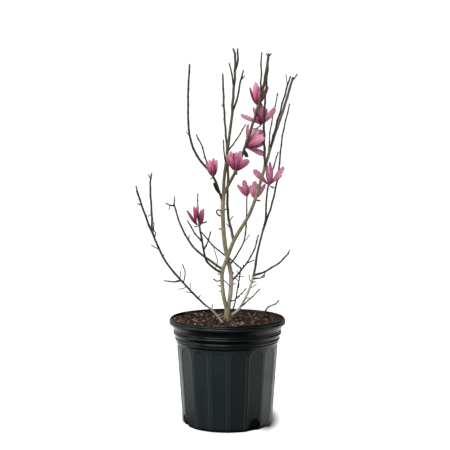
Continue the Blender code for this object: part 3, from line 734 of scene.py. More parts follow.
def tube_tree():
    """Draws closed tubes along curves; notes their radius as the girth and their tilt as bleached."""
    tree, given = new_tree("limb_tubes", (("Sides", "Int", 8), ("Finish", "Material", None)))
    radius = node_in(tree, "GeometryNodeInputRadius")
    curves = given["Geometry"]
    for name, value in (("girth", radius), ("bleached", node_in(tree, "GeometryNodeInputCurveTilt"))):
        curves = node_in(tree, "GeometryNodeStoreNamedAttribute", {
            "Geometry": curves, "Name": name, "Value": value}, data_type="FLOAT", domain="POINT")
    ring = node_in(tree, "GeometryNodeCurvePrimitiveCircle", {"Resolution": given["Sides"], "Radius": 1.0})
    tubes = node_in(tree, "GeometryNodeCurveToMesh", {
        "Curve": curves, "Profile Curve": ring, "Scale": radius, "Fill Caps": True})
    return end_tree(tree, given, node_in(tree, "GeometryNodeSetShadeSmooth", {"Geometry": tubes}))


def relief_tree():
    """Raises fine ridges and cracks of bark along a skin's normals, less on thin limbs."""
    tree, given = new_tree("bark_relief", (
        ("Relief", "Float", 0.0003), ("Grain", "Float", 700.0), ("Stretch", "Float", 0.2),
        ("Finish", "Material", None)))
    squeeze = node_in(tree, "ShaderNodeCombineXYZ", {0: 1.0, 1: 1.0, 2: given["Stretch"]})
    drawn = vector_in(tree, "MULTIPLY", node_in(tree, "GeometryNodeInputPosition"), squeeze)
    ridges = math_in(tree, "SUBTRACT", noise_in(tree, drawn, given["Grain"], 3.0), 0.5)
    girth = node_in(tree, "GeometryNodeInputNamedAttribute", {"Name": "girth"}, data_type="FLOAT")
    share = range_in(tree, girth, (0.0, 0.005), (0.2, 1.0))
    height = math_in(tree, "MULTIPLY", math_in(tree, "MULTIPLY", ridges, given["Relief"]), share)
    normal = node_in(tree, "GeometryNodeInputNormal")
    offset = node_in(tree, "ShaderNodeVectorMath", {0: normal, "Scale": height}, operation="SCALE")
    return end_tree(tree, given, node_in(tree, "GeometryNodeSetPosition", {
        "Geometry": given["Geometry"], "Offset": offset}))


def living_bark():
    """Bark whose tone follows the limb's girth: khaki on the stems, dark grey-brown on thin twigs."""
    made, tree, shader, place = new_finish("living_bark", 0.62, 0.3)
    streak = node_in(tree, "ShaderNodeMapping", {"Vector": place, "Scale": (1, 1, 0.14)})
    shade = ramp_in(tree, noise_in(tree, streak, 420, 5, 0.65), (
        (0.30, (0.42, 0.40, 0.36)), (0.5, (0.95, 0.95, 0.93)), (0.72, (1.55, 1.50, 1.42))))
    patches = noise_in(tree, place, 48, 4, 0.6)
    stout = math_in(tree, "MULTIPLY_ADD", patches, 0.0022, stored_in(tree, "girth"))
    base = ramp_in(tree, range_in(tree, stout, (0.0018, 0.0060), (0.0, 1.0)), (
        (0.0, (0.016, 0.016, 0.013)), (0.3, (0.026, 0.025, 0.018)), (0.55, (0.052, 0.045, 0.028)),
        (0.8, (0.145, 0.120, 0.070)), (1.0, (0.245, 0.202, 0.120))))
    young = mix_in(tree, 1.0, base, shade, "MULTIPLY")
    dry = mix_in(tree, 0.6, (0.55, 0.49, 0.405, 1), shade, "MULTIPLY")
    weathered = mix_in(tree, stored_in(tree, "bleached"), young, dry)
    pores = node_in(tree, "ShaderNodeTexVoronoi", {"Vector": place, "Scale": 330, "Randomness": 1.0},
                    feature="F1")
    spot = range_in(tree, pores, (0.12, 0.22), (0.35, 0.0))
    flecked = mix_in(tree, spot, weathered, (0.24, 0.21, 0.15, 1))
    wire(tree, shader, flecked, noise_in(tree, streak, 1300, 4), 0.7, 0.18)
    return made


limbs = {"trunk": trunk_limb()}
for name, (host, leaves_at, foot, tip, route) in BOUGHS.items():
    limbs[name] = grow(limbs[host], leaves_at, foot, tip, route)

rng = random.Random(21)
fleshed_boughs = [fleshed(limbs["trunk"], rng, (), 0)]
for name, bough in BOUGHS.items():
    limb = limbs[name]
    spans = int(along_path(limb.path)[-1] / KNOT_SPACING)
    knots = [(rng.uniform(0.85, 1.15) * k * KNOT_SPACING, rng.uniform(*KNOT_SWELLING))
             for k in range(1, spans)]
    collar = 0 if bough[1] is None else COLLAR
    fleshed_boughs.append(fleshed(limb, rng, knots, collar, BOUGH_STOUTNESS))

tubes = tube_tree()
bark = living_bark()
wood = run_tree(limb_curves("trunk_and_boughs", fleshed_boughs), tubes, {"Sides": SIDES, "Finish": bark})
skin = wood.modifiers.new("Skin", "REMESH")
skin.mode = "VOXEL"
skin.voxel_size = SKIN_VOXEL
soften = wood.modifiers.new("Soften", "SMOOTH")
soften.factor = 0.5
soften.iterations = SKIN_SMOOTHING
wood = applied(wood)
# Each corner of the skin is as thick and as pale as the limb whose axis it lies nearest
places = np.array([tuple(place * MM) for limb in fleshed_boughs for place in limb.path])
girths = np.array([radius * MM for limb in fleshed_boughs for radius in limb.radii])
owners = np.array([k for k, limb in enumerate(fleshed_boughs) for _ in limb.path])
corners = places_of(wood.data)
nearest = np.concatenate([
    np.argmin(((part[:, None] - places) ** 2).sum(2), 1) for part in np.array_split(corners, 60)])
note(wood.data, "girth", girths[nearest])
bleached = np.zeros(len(corners))
for k, name in enumerate(limbs):
    if name in BLEACHED:
        paleness = np.interp(corners[:, 2] / MM, *zip(*BLEACHED[name]))
        bleached = np.where(owners[nearest] == k, paleness, bleached)
by_trunk = np.hypot(corners[:, 0], corners[:, 1]) < BARE_FOOT * MM
bleached[by_trunk & (corners[:, 2] < BARE_HEIGHT * MM)] = 0
note(wood.data, "bleached", bleached)
relief = relief_tree()
wood = run_tree(wood, relief, {"Relief": 0.8 * MM, "Grain": 420.0, "Stretch": 0.16, "Finish": bark})
outward(wood.data)
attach(wood, "root")
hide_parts("trunk", *(name for name in BOUGHS if not name.endswith("root")))


# Twigs
# Last year's shoots, thin and hard, carry on from the boughs. Each swells at its foot and at every
# node, bends a little from node to node, and ends in a scaly bud. They are bare of leaves.
TWIG_SIDES = 9
TWIG_STOUTNESS = 1.42
TWIG_STEP = 1.6
NODE_SPACING = (15, 24)
FIRST_NODE = (8, 15)
NODELESS_TIP = 5
TWIG_COLLAR = 0.45
NODE_SWELLING = (0.28, 0.5)
TIP_BUD = 10.5
SPUR_STOUTNESS = 1.15
# Each shoot: its host, the height it leaves at (None is the tip), radius at foot and tip, guide points; mm
SHOOTS = {
    "leader_top": ("leader", None, 2.8, 1.9, ((13, 27, 759), (17, 36, 809), (18, 44, 860), (13, 46, 875))),
    "leader_right": ("leader_top", 728, 1.8, 1.3, ((22, 34, 755), (30, 50, 796), (38, 63, 826))),
    "leader_left": ("leader_top", 786, 1.4, 1.2, ((10, 26, 814), (4, 20, 841))),
    "leader_fork": ("leader_top", 822, 1.7, 1.5, ((25, 46, 846), (23, 53, 876))),
    "leader_back": ("leader", 635, 1.3, 1.0, ((23, 46, 665), (44, 80, 699))),
    "leader_bud": ("leader", 608, 1.1, 1.1, ((-8, 0, 639), (-9, -4, 656))),
    "middle_top": ("middle_bough", None, 3.0, 2.1, ((63, -25, 716), (82, -29, 786), (94, -32, 861))),
    "middle_left": ("middle_top", 757, 1.4, 1.2, ((76, -33, 797), (77, -38, 863))),
    "middle_flower_spur": ("middle_bough", 592, 1.6, 1.4, ((21, -34, 586), (19, -48, 592))),
    "inner_stem": ("front_stem", 431, 2.2, 1.5, (
        (3, 8, 480), (0, 13, 524), (1, 26, 602), (-7, 48, 719), (-11, 64, 818))),
    "left_stem": ("back_stem", 519, 2.1, 1.5, (
        (-33, -14, 579), (-69, -30, 627), (-86, -38, 674), (-89, -48, 755), (-85, -60, 837))),
    "left_side": ("left_stem", 591, 1.4, 1.1, ((-52, -12, 628), (-61, -4, 655), (-74, 6, 678))),
    "low_left_tip": ("low_left_bough", None, 2.2, 1.5, ((-182, -88, 489), (-204, -98, 555))),
    "low_left_upright": ("low_left_tip", 457, 1.8, 1.4, (
        (-171, -70, 499), (-175, -58, 566), (-171, -55, 591))),
    "low_left_side": ("low_left_bough", 344, 1.4, 1.1, ((-121, -46, 340), (-148, -40, 342))),
    "back_left_stem": ("front_stem", 364, 2.1, 1.3, (
        (-40, 12, 382), (-79, 34, 411), (-109, 54, 459), (-126, 68, 510), (-125, 69, 522))),
    "back_left_side": ("back_left_stem", 506, 1.2, 1.0, ((-135, 60, 508), (-147, 52, 514))),
    "front_left_stem": ("front_stem", 356, 1.9, 1.5, (
        (-31, -18, 368), (-49, -30, 389), (-56, -42, 423), (-64, -56, 468))),
    "front_left_outer": ("front_left_stem", 432, 1.3, 1.1, ((-73, -64, 452), (-91, -76, 484))),
    "front_left_inner": ("front_left_stem", 412, 1.2, 1.0, ((-45, -30, 430), (-38, -22, 455))),
    "front_left_upright": ("front_left_stem", 465, 1.2, 0.9, ((-67, -50, 507), (-68, -46, 545))),
    "back_left_low_stem": ("back_bough", None, 1.6, 1.2, ((5, 38, 384), (-30, 48, 410), (-65, 60, 448))),
    "thin_back_stem": ("back_stem", 372, 1.3, 1.1, (
        (15, 20, 384), (39, 40, 426), (45, 60, 478), (46, 80, 526))),
    "right_top": ("front_stem", None, 3.2, 2.0, ((106, 36, 662), (130, 44, 731), (154, 54, 810))),
    "right_front_side": ("right_top", 643, 1.7, 1.3, ((116, 16, 708), (144, -14, 810))),
    "right_back_side": ("right_top", 627, 1.2, 1.0, ((101, 56, 687), (119, 84, 773))),
    "right_front_stem": ("front_stem", 600, 2.2, 1.4, ((84, -14, 670), (84, -36, 739), (92, -52, 839))),
    "hidden_flower_spur": ("front_stem", 503, 1.6, 1.3, ((60, 28, 508), (65, 46, 523))),
    "low_right_tip": ("low_right_bough", None, 2.0, 1.1, ((93, 68, 529), (98, 72, 558), (121, 88, 635))),
    "right_outer_stem": ("low_right_bough", 450, 1.7, 1.2, (
        (102, 70, 499), (113, 76, 540), (121, 81, 585), (130, 88, 667), (148, 96, 749))),
    "right_low_stem": ("low_right_bough", 344, 1.8, 1.2, ((83, 28, 352), (121, 0, 379), (143, -20, 405))),
    "right_low_back": ("low_right_bough", 336, 1.3, 1.1, ((79, 54, 336), (88, 62, 343))),
    "right_inner_stem": ("back_stem", 334, 1.5, 1.1, (
        (27, 14, 353), (48, 20, 380), (64, 22, 410), (73, 20, 445))),
    "right_inner_side": ("right_inner_stem", 376, 1.1, 0.9, ((56, 8, 381), (65, 4, 386))),
    "foot_twig_stem": ("back_stem", 290, 1.0, 0.85, ((16, -8, 292), (28, -20, 305), (44, -36, 324))),
    "front_right_stem": ("low_right_bough", 274, 1.15, 0.85, ((41, 4, 283), (62, -24, 307), (76, -42, 325))),
    "sucker_stem": (None, None, 1.5, 1.0, (
        (88, 86, 241), (91, 87, 252), (98, 82, 262), (117, 78, 272), (124, 76, 281))),
}


def node_places(path, rng):
    """How far along a shoot its nodes lie, from its foot up."""
    places = []
    along = rng.uniform(*FIRST_NODE)
    end = along_path(path)[-1] - NODELESS_TIP
    while along < end:
        places.append(along)
        along += rng.uniform(*NODE_SPACING)
    return places


def bent_at_nodes(limb, nodes, rng):
    """A shoot bends a little at each node, to one side and then the other."""
    lengths = along_path(limb.path)
    side = (limb.path[-1] - limb.path[0]).normalized().orthogonal()
    turned = Matrix.Rotation(rng.uniform(0, 6.28), 3, limb.path[-1] - limb.path[0]) @ side
    knees = [0] + nodes + [lengths[-1]]
    shifts = [0] + [(-1) ** i * rng.uniform(0.25, 0.75) for i in range(len(nodes))] + [0]
    path = [place + turned * s for place, s in zip(limb.path, np.interp(lengths, knees, shifts))]
    return Limb(path, limb.radii, limb.stops)


shoot_nodes = {}
fleshed_shoots = []
for name, (host, leaves_at, foot, tip, route) in SHOOTS.items():
    if host and leaves_at is None:
        foot = limbs[host].radii[-1] * BOUGH_STOUTNESS / TWIG_STOUTNESS
    limb = grow(limbs.get(host), leaves_at, foot, tip, route, TIP_BUD - 0.5, TWIG_STEP)
    nodes = node_places(limb.path, rng)
    limb = bent_at_nodes(limb, nodes, rng)
    limb.stops = BLEACHED.get(name, limb.stops)
    limbs[name] = limb
    shoot_nodes[name] = nodes
    knots = [(along, rng.uniform(*NODE_SWELLING)) for along in nodes]
    collar = 0 if leaves_at is None else TWIG_COLLAR
    fleshed_shoots.append(fleshed(limb, rng, knots, collar, TWIG_STOUTNESS))

# The spurs, by shoot: the height each leaves at, its radius, the length of its bud, guide points; mm
SPURS = (
    ("leader_right", ((800, 1.3, 5, ((38, 51, 808),)),)),
    ("inner_stem", ((736, 0.9, 4, ((-12, 50, 741),)), (456, 1.0, 4, ((0, 4, 467),)),
        (474, 1.0, 4, ((11, 6, 484),)))),
    ("middle_top", ((850, 1.2, 3.5, ((89, -29, 857),)), (850, 1.2, 3.5, ((98, -33, 857),)))),
    ("right_top", ((800, 1.5, 5, ((157, 53, 806), (161, 52, 812))),)),
    ("right_front_side", ((780, 0.9, 5, ((136, -9, 791), (134, -12, 809))),)),
    ("right_outer_stem", ((562, 1.0, 4, ((121, 80, 568), (127, 81, 575))),)),
    ("left_stem", ((671, 0.9, 4, ((-92, -36, 680),)), (578, 1.1, 3.5, ((-37, -16, 575),)))),
    ("leader_bud", ((641, 1.5, 9, ((-9, 0, 656),)),)),
    ("back_left_stem", ((512, 1.2, 6, ((-125, 69, 523),)),)),
    ("back_left_side", ((508, 0.9, 4, ((-137, 61, 500),)),)),
    ("back_left_stem", ((428, 1.0, 4, ((-90, 44, 436),)),)),
    ("thin_back_stem", ((426, 0.8, 4, ((44, 41, 428), (51, 42, 439))),)),
    ("low_left_tip", ((536, 1.6, 12, ((-202, -95, 553),)), (519, 1.2, 3.5, ((-199, -94, 522),)))),
    ("low_left_upright", ((576, 1.1, 5, ((-177, -58, 583),)), (498, 0.9, 3, ((-178, -69, 493),)),
        (487, 0.9, 3, ((-171, -71, 494),)))),
    ("low_left_tip", ((444, 1.1, 8, ((-162, -78, 456), (-166, -76, 460), (-166, -74, 474))),)),
    ("low_left_bough", ((418, 1.0, 5, ((-163, -75, 422), (-169, -76, 426))),
        (401, 1.0, 4, ((-145, -68, 403),)),
        (338, 1.2, 7, ((-97, -46, 355), (-97, -44, 364), (-101, -42, 375))),
        (347, 0.9, 4, ((-107, -52, 363),)), (330, 0.9, 4, ((-100, -47, 325), (-109, -50, 324))),
        (320, 0.9, 4, ((-85, -39, 333),)), (313, 0.9, 4, ((-93, -39, 316),)),
        (300, 1.0, 3, ((-63, -31, 306),)), (271, 1.1, 4, ((-35, -17, 281),)))),
    ("front_stem", ((339, 1.4, 4, ((-24, -11, 337), (-30, -14, 341))), (323, 1.1, 3, ((-20, -8, 326),)),
        (310, 1.1, 3, ((-17, -7, 313),)), (350, 1.1, 3, ((-21, -11, 354),)),
        (341, 1.0, 0, ((-2, -5, 333), (6, -2, 322))))),
    ("back_stem", ((344, 1.3, 4, ((13, 6, 353),)), (326, 1.1, 3, ((17, 6, 329),)),
        (487, 1.6, 3, ((-18, 1, 488), (-23, -1, 492), (-25, -3, 498), (-22, -5, 502), (-18, -7, 501))),
        (456, 1.4, 3, ((-18, 5, 457),)), (498, 1.2, 3, ((-4, -1, 503),)))),
    ("front_left_stem", ((366, 0.9, 4, ((-23, -20, 384), (-26, -23, 397), (-32, -26, 418))),)),
    ("right_inner_stem", ((363, 1.0, 0, ((38, 16, 372),)), (352, 0.9, 3, ((23, 12, 357),)),
        (343, 0.8, 0, ((27, 13, 330), (26, 15, 317))), (344, 0.8, 3, ((36, 15, 345),)))),
    ("foot_twig_stem", ((296, 0.9, 3, ((27, -13, 301),)),)),
    ("low_right_bough", ((328, 0.9, 4, ((52, 32, 336), (51, 30, 344))), (326, 1.0, 4, ((64, 32, 330),)),
        (316, 0.9, 4, ((60, 32, 318), (66, 33, 322))), (292, 0.9, 3, ((52, 23, 293),)))),
    ("right_low_stem", ((400, 1.1, 5, ((142, -17, 407),)),)),
    ("right_low_back", ((338, 1.1, 5, ((87, 57, 338), (88, 57, 345))),)),
)

buds = []
for host, leaves_at, radius, bud, route in ((host, *spur) for host, spurs in SPURS for spur in spurs):
    spur = grow(limbs[host], leaves_at, radius * SPUR_STOUTNESS, radius, route, 0, TWIG_STEP)
    fleshed_shoots.append(fleshed(spur, rng, ((along_path(spur.path)[-1] - 1, 0.15),), 0.1))
    if bud:
        way = (spur.path[-1] - spur.path[-2]).normalized()
        buds.append((spur.path[-1], way, bud, radius * SPUR_STOUTNESS))

twigs = run_tree(limb_curves("twigs", fleshed_shoots), tubes, {"Sides": TWIG_SIDES, "Finish": bark})
twigs = run_tree(twigs, relief, {"Relief": 0.5 * MM, "Grain": 700.0, "Stretch": 0.25, "Finish": bark})
outward(twigs.data)
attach(twigs, "root")
MASSES = (
    "leader_twigs", "leader_back_twig", "leader_bud_twig", "middle_twigs", "middle_flower", "inner_shoot",
    "left_shoot", "low_left_twigs", "low_left_side_twig", "back_left_shoot", "front_left_shoot",
    "back_left_low_shoot", "thin_back_shoot", "right_twigs", "right_front_shoot", "hidden_flower",
    "low_right_twigs", "right_outer_shoot", "right_low_shoot", "right_low_twig", "right_inner_shoot",
    "foot_twig", "front_right_twig", "sucker",
)
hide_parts(*MASSES)


# Buds
# Each shoot and spur ends in a bud wrapped in two felted scales, and a small flat bud sits over the
# leaf scar at each node, turned a golden angle on from the one below.
GOLDEN_TURN = math.radians(137.5)
BUD_ANGLE = math.radians(36)
BUD_SEAT = 0.7
SIDE_BUDS = (1.9, 3.6)
BUD_SECTION = ((0.0, 0.62), (0.12, 0.92), (0.32, 1.0), (0.54, 0.97), (0.75, 0.76), (0.9, 0.42))


def bud_mesh():
    """One bud, a unit long up +Z from the origin and a unit in radius, with its outer scale's lap."""
    around = 8
    verts = [(0, 0, -0.08)]
    for height, reach in BUD_SECTION:
        for k in range(around):
            angle = 2 * math.pi * k / around
            lap = 1.12 if k in (0, 1) and 0.1 < height < 0.7 else 1
            bend = 0.25 * height ** 2
            verts.append((math.cos(angle) * reach * lap + bend, math.sin(angle) * reach * lap, height))
    verts.append((0.3, 0, 1))
    return outward(mesh_of("bud", verts, capped_rings(len(BUD_SECTION), around, 1, 0, len(verts) - 1)))


def bud_tree():
    """Sets the bud on every point, aimed and sized by the point's own values."""
    tree, given = new_tree("set_buds", (("Bud", "Object", None), ("Finish", "Material", None)))
    aim, size = (node_in(tree, "GeometryNodeInputNamedAttribute", {"Name": name}, data_type="FLOAT_VECTOR")
                 for name in ("aim", "size"))
    spin = node_in(tree, "FunctionNodeRandomValue", {2: 0.0, 3: 6.28, "Seed": 4}, data_type="FLOAT")
    upright = node_in(tree, "FunctionNodeEulerToRotation", {
        0: node_in(tree, "ShaderNodeCombineXYZ", {2: spin})})
    turned = node_in(tree, "FunctionNodeAlignRotationToVector", {
        "Rotation": upright, "Vector": aim}, axis="Z")
    shape = node_in(tree, "GeometryNodeObjectInfo", {"Object": given["Bud"]}, "Geometry")
    return end_tree(tree, given, node_in(tree, "GeometryNodeInstanceOnPoints", {
        "Points": given["Geometry"], "Instance": shape, "Rotation": turned, "Scale": size}))


def felted_scales():
    """Grey-brown bud scales under a thin silvery felt."""
    made, shader = mottled("felted_scales", (
        (0.3, (0.040, 0.033, 0.025)), (0.55, (0.085, 0.075, 0.055)), (0.8, (0.17, 0.16, 0.125))),
        roughness=0.8, specular=0.2, scale=900, strength=0.6, depth=0.15)
    shader.inputs["Sheen Weight"].default_value = 0.35
    return made


for name in SHOOTS:
    limb = limbs[name]
    lengths = along_path(limb.path)
    way = (limb.path[-1] - limb.path[-2]).normalized()
    length = TIP_BUD * rng.uniform(0.8, 1.0)
    girth = max(length * rng.uniform(0.155, 0.18), limb.radii[-1] * TWIG_STOUTNESS)
    buds.append((limb.path[-1], way, length, girth))
    for i, along in enumerate(shoot_nodes[name]):
        k = min(range(len(lengths) - 1), key=lambda n: abs(lengths[n] - along))
        way = (limb.path[k + 1] - limb.path[k]).normalized()
        turn = Matrix.Rotation(i * GOLDEN_TURN + rng.uniform(-0.5, 0.5), 3, way)
        around = turn @ way.orthogonal().normalized()
        aim = way * math.cos(BUD_ANGLE) + around * math.sin(BUD_ANGLE)
        length = rng.uniform(*SIDE_BUDS)
        foot = limb.path[k] + around * limb.radii[k] * BUD_SEAT
        buds.append((foot, aim, length, length * rng.uniform(0.3, 0.38)))

bud_points = mesh_of("buds", [tuple(place * MM) for place, *_ in buds])
note(bud_points, "aim", [tuple(aim) for _, aim, _, _ in buds], "FLOAT_VECTOR")
sizes = [(radius * MM, radius * MM, length * MM) for *_, length, radius in buds]
note(bud_points, "size", sizes, "FLOAT_VECTOR")
one_bud = placed("bud_shape", bud_mesh())
buds_piece = run_tree(placed("buds", bud_points), bud_tree(), {"Bud": one_bud, "Finish": felted_scales()})
bpy.data.objects.remove(one_bud, do_unlink=True)
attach(buds_piece, "root")


# Blossoms
# Soft, waxy tepals in loose tulip shapes, dark magenta at the foot and outside, paler at the rim, where a
# painted highlight runs along the edge, and inside. Each blossom stands on a short stalk from its twig, over
# a green-brown swelling.
TEPAL_THICKNESS = 0.5
TEPAL_ACROSS = 16
TEPAL_ALONG = 30
VEIN = 0.045
MARGIN = 0.16
SHOWN_FACE = 1.5
PETAL_RING = 2.0
DARK_RIM_ROWS = 6
TONE_SPREAD = 0.05
NECK_LENGTH = 2.5
STALK_SAG = 0.12
STALK_STEP = 1.2
STALK_RADIUS = 1.3
STALK_FLARE = 0.35
# Each blossom: its shoot, the height its stalk leaves at, its base, its axis, and its tepals as the
# tip's place from the base (right, back, up), width, and how far the tip curls outwards; mm. The
# number before the tepals makes a blossom paler, or darker where it is negative; so does a sixth one.
BLOSSOMS = {
    "left_blossom": ("left_stem", 574, (-33, -24, 581), (-0.10, -0.15, 1), 0.04, (
        (-17, -2, 31, 8, 0.2), (-8, -6, 38, 11, 0.0), (1, 6, 41, 11, 0.0), (9, -4, 38, 11, 0.1),
        (-3, 12, 31, 10, 0.2), (6, 12, 34, 10, 0.2), (1, -9, 30, 10, 0.0, -0.2))),
    "middle_blossom": ("middle_flower_spur", 591, (19, -49, 594), (0.05, -0.2, 1), 0.02, (
        (-20, -4, 37, 16, 0.1), (-12, 8, 45, 11, 0.0), (-5, -8, 42, 11, 0.0, -0.15),
        (2, 9, 43, 11, 0.0, 0.05), (10.5, -2, 46, 12, 0.0), (27, -8, 27, 22, -0.2, 0.05),
        (-10, 20, 33, 14, 0.3, -0.2), (12, 18, 34, 14, 0.2, -0.2), (5, -14, 33, 12, 0.1, -0.15),
        (-13, -10, 33, 12, 0.1))),
    "fan_blossom": ("middle_top", 660, (46, -12, 646), (0.9, 0.15, 0.45), 0.27, (
        (2, 4, 54, 9, 0.0, -0.1), (12, 12, 36, 20, 0.0), (24, 2, 43, 23, 0.0), (35, 11, 39, 23, 0.0),
        (39, -4, 27, 22, 0.0), (38, 14, 13, 20, 0.0), (43, 26, -16, 16, 0.0), (22, 28, 30, 18, 0.1))),
    "open_blossom": ("middle_top", 688, (76, -14, 699), (-0.05, 0.2, 1), 0, (
        (-46, 2, 22, 12, 0.25, 0.3), (-17, 10, 39, 10, 0.1, 0.2), (-5, 0, 42, 11, 0.0, -0.2),
        (1, 7, 50, 11, 0.0), (9, 3, 44, 11, 0.0), (33, 6, 38, 17, -0.2, 0.35), (14, 22, 36, 13, 0.1, -0.1),
        (-10, 26, 34, 13, 0.2, -0.1), (3, -7, 37, 12, 0.0, -0.15))),
    "top_blossom": ("middle_top", 738, (68, -16, 744), (0.0, 0.2, 1), -0.02, (
        (-17, 4, 39, 7, 0.0, -0.6), (-4, 2, 51, 15, 0.0, 0.05), (25, 7, 42, 12, 0.0),
        (12, 12, 46, 11, 0.0, -0.1), (-7, 15, 37, 10, 0.1, -0.1), (9, -3, 36, 11, 0.0, -0.1),
        (2, 5, 43, 11, 0.0))),
    "small_back_blossom": ("thin_back_stem", 525, (46, 80, 529), (-0.2, 0.0, 1), 0.36, (
        (-22, -3, 27, 10, 0.0, 0.1), (-7, -5, 38, 14, 0.0, 0.0), (9, -2, 24, 9, 0.0),
        (-15, 9, 22, 9, 0.0, -0.1), (1, 10, 25, 11, 0.0, -0.1))),
    "hidden_blossom": ("hidden_flower_spur", 521, (65, 46, 525), (0.05, 0.1, 1), 0.34, (
        (-11, 0, 31, 12, 0.1), (-1, -4, 41, 16, 0.0), (11, 2, 35, 12, 0.0), (24, 2, 34, 12, 0.0),
        (5, 14, 34, 11, 0.1, -0.1), (16, 10, 28, 11, 0.0, -0.1))),
    "right_blossom": ("low_right_tip", 552, (98, 62, 557), (0.0, -0.05, 1), 0.3, (
        (-36, -6, 36, 18, -0.1), (2, -4, 54, 9.5, 0.0, -0.05), (35, -2, 42, 15, 0.0), (-5, 12, 47, 9, 0.0),
        (7, 8, 40, 10, 0.0, -0.1), (3, -8, 31, 9, 0.0, -0.15))),
    "low_blossom": ("front_left_stem", 466, (-64, -60, 470), (-0.15, -0.1, 1), -0.32, (
        (-28, -3, 36, 8, 0.0), (-12, -8, 45, 9, 0.0), (10, -3, 40, 9, 0.0), (-25, 8, 31, 7, 0.0),
        (-6, 8, 43, 8, 0.0), (4, 10, 36, 8, 0.0))),
}
# Tepal tones from foot to tip, outside and inside, each spread over a run of narrow bands
OUTER_TONES = (
    (0.075, 0.004, 0.024), (0.215, 0.016, 0.076), (0.385, 0.066, 0.165), (0.510, 0.135, 0.250),
    (0.640, 0.245, 0.370),
)
INNER_TONES = ((0.150, 0.010, 0.050), (0.420, 0.100, 0.195), (0.620, 0.245, 0.360))
# The tepals' thin edge: a pale margin tone that is also a painted highlight along the edge
PALE_RIM_AND_HIGHLIGHT = (0.640, 0.280, 0.390)
OUTER_BANDS = 18
INNER_BANDS = 8


def tepal_width(along):
    """A tepal's width as a share of its widest: a narrow foot, widest past the middle, a round tip."""
    swell = 0.24 + 0.76 * math.sin(0.5 * math.pi * min(1, along / 0.66)) ** 1.4
    tip = max(0, (along - 0.62) / 0.38)
    return swell * math.sqrt(max(0, 1 - tip ** 2.8))


def tepal(base, axis, tip, width, curl, rng):
    """Rows of places over one cupped tepal, from its foot on the swelling to its tip."""
    tip = Vector(tip)
    length = tip.length
    out = tip - axis * tip.dot(axis)
    out = out.normalized() if out.length > 0.5 else axis.orthogonal().normalized()
    foot = out * PETAL_RING
    heading = tip.normalized()
    leave = (axis * 0.55 + out * 0.75).normalized()
    arrive = (heading + axis * 0.35 + out * curl).normalized()
    knots = [foot, foot + leave * length * 0.33, tip - arrive * length * 0.36, tip]
    drift = rng.uniform(0, 50)
    turned = out + Vector((0, math.copysign(SHOWN_FACE, out.y), 0))
    side_axis = heading.cross(turned)
    rows = []
    for i in range(TEPAL_ALONG + 1):
        t = i / TEPAL_ALONG
        s = 1 - t
        place = knots[0] * s ** 3 + knots[1] * 3 * s * s * t + knots[2] * 3 * s * t * t + knots[3] * t ** 3
        way = (knots[1] - knots[0]) * s * s + (knots[2] - knots[1]) * 2 * s * t
        way += (knots[3] - knots[2]) * t * t
        way.normalize()
        side = (side_axis - way * side_axis.dot(way)).normalized()
        face = side.cross(way)
        half = width / 2 * tepal_width(t)
        hollow = width * (0.13 + 0.15 * math.sin(math.pi * min(1, t * 1.15)) - 0.06 * t)
        row = []
        for k in range(TEPAL_ACROSS + 1):
            u = math.sin(0.5 * math.pi * (2 * k / TEPAL_ACROSS - 1))
            ruffle = 0.5 * noise.noise(Vector((t * 4, u * 1.5, drift))) * t
            rise = -hollow * u * u * tepal_width(t) + ruffle
            row.append(base + (place + side * half * u * (1 - 0.10 * u * u) + face * rise))
        rows.append(row)
    return rows


def add_tepal(shape, rows, shift, rng):
    """Adds one tepal's outside and inside sheets and its rim; each face gets its tone's number."""
    step_along = len(rows) - 1
    step_across = len(rows[0]) - 1
    sheets = []
    for sign in (0, 1):
        sheet = []
        for i, row in enumerate(rows):
            line = []
            for k, spot in enumerate(row):
                ahead = rows[min(i + 1, step_along)][k] - rows[max(i - 1, 0)][k]
                over = row[min(k + 1, step_across)] - row[max(k - 1, 0)]
                normal = over.cross(ahead).normalized()
                thin = TEPAL_THICKNESS * (0.35 if k in (0, step_across) else 1)
                line.append(shape.verts.new((spot - normal * thin * sign) * MM))
            sheet.append(line)
        sheets.append(sheet)
    outside, inside = sheets
    veins = [rng.uniform(-VEIN, VEIN) + MARGIN * abs(2 * (k + 0.5) / step_across - 1) ** 2.5
             for k in range(step_across)]
    for i in range(step_along):
        for k in range(step_across):
            along = min(0.999, max(0, (i + 0.5) / step_along + shift + veins[k]))
            face = shape.faces.new((
                outside[i][k], outside[i][k + 1], outside[i + 1][k + 1], outside[i + 1][k]))
            face.material_index = int(along * OUTER_BANDS)
            face = shape.faces.new((inside[i][k], inside[i + 1][k], inside[i + 1][k + 1], inside[i][k + 1]))
            face.material_index = OUTER_BANDS + int(along * INNER_BANDS)
    ring = [(i, 0) for i in range(step_along)] + [(step_along, k) for k in range(step_across)]
    ring += [(i, step_across) for i in range(step_along, 0, -1)] + [(0, k) for k in range(step_across, 0, -1)]
    for (i, k), (j, m) in zip(ring, ring[1:] + ring[:1]):
        face = shape.faces.new((outside[i][k], outside[j][m], inside[j][m], inside[i][k]))
        # The edge above the foot takes the pale rim tone with its painted highlight
        face.material_index = OUTER_BANDS + INNER_BANDS if i > DARK_RIM_ROWS else 0


def petal_tone(name, colour):
    """One plain petal tone with a faint mottle, a silky sheen and a little light through it."""
    made, shader = mottled(name, shades(colour, 0.82, 1.15), roughness=0.48, specular=0.3,
                           scale=210, grain=0.6, strength=0.2, depth=0.3)
    shader.inputs["Sheen Weight"].default_value = 0.08
    shader.inputs["Subsurface Weight"].default_value = 0.12
    shader.inputs["Subsurface Radius"].default_value = (0.004, 0.0015, 0.002)
    return made


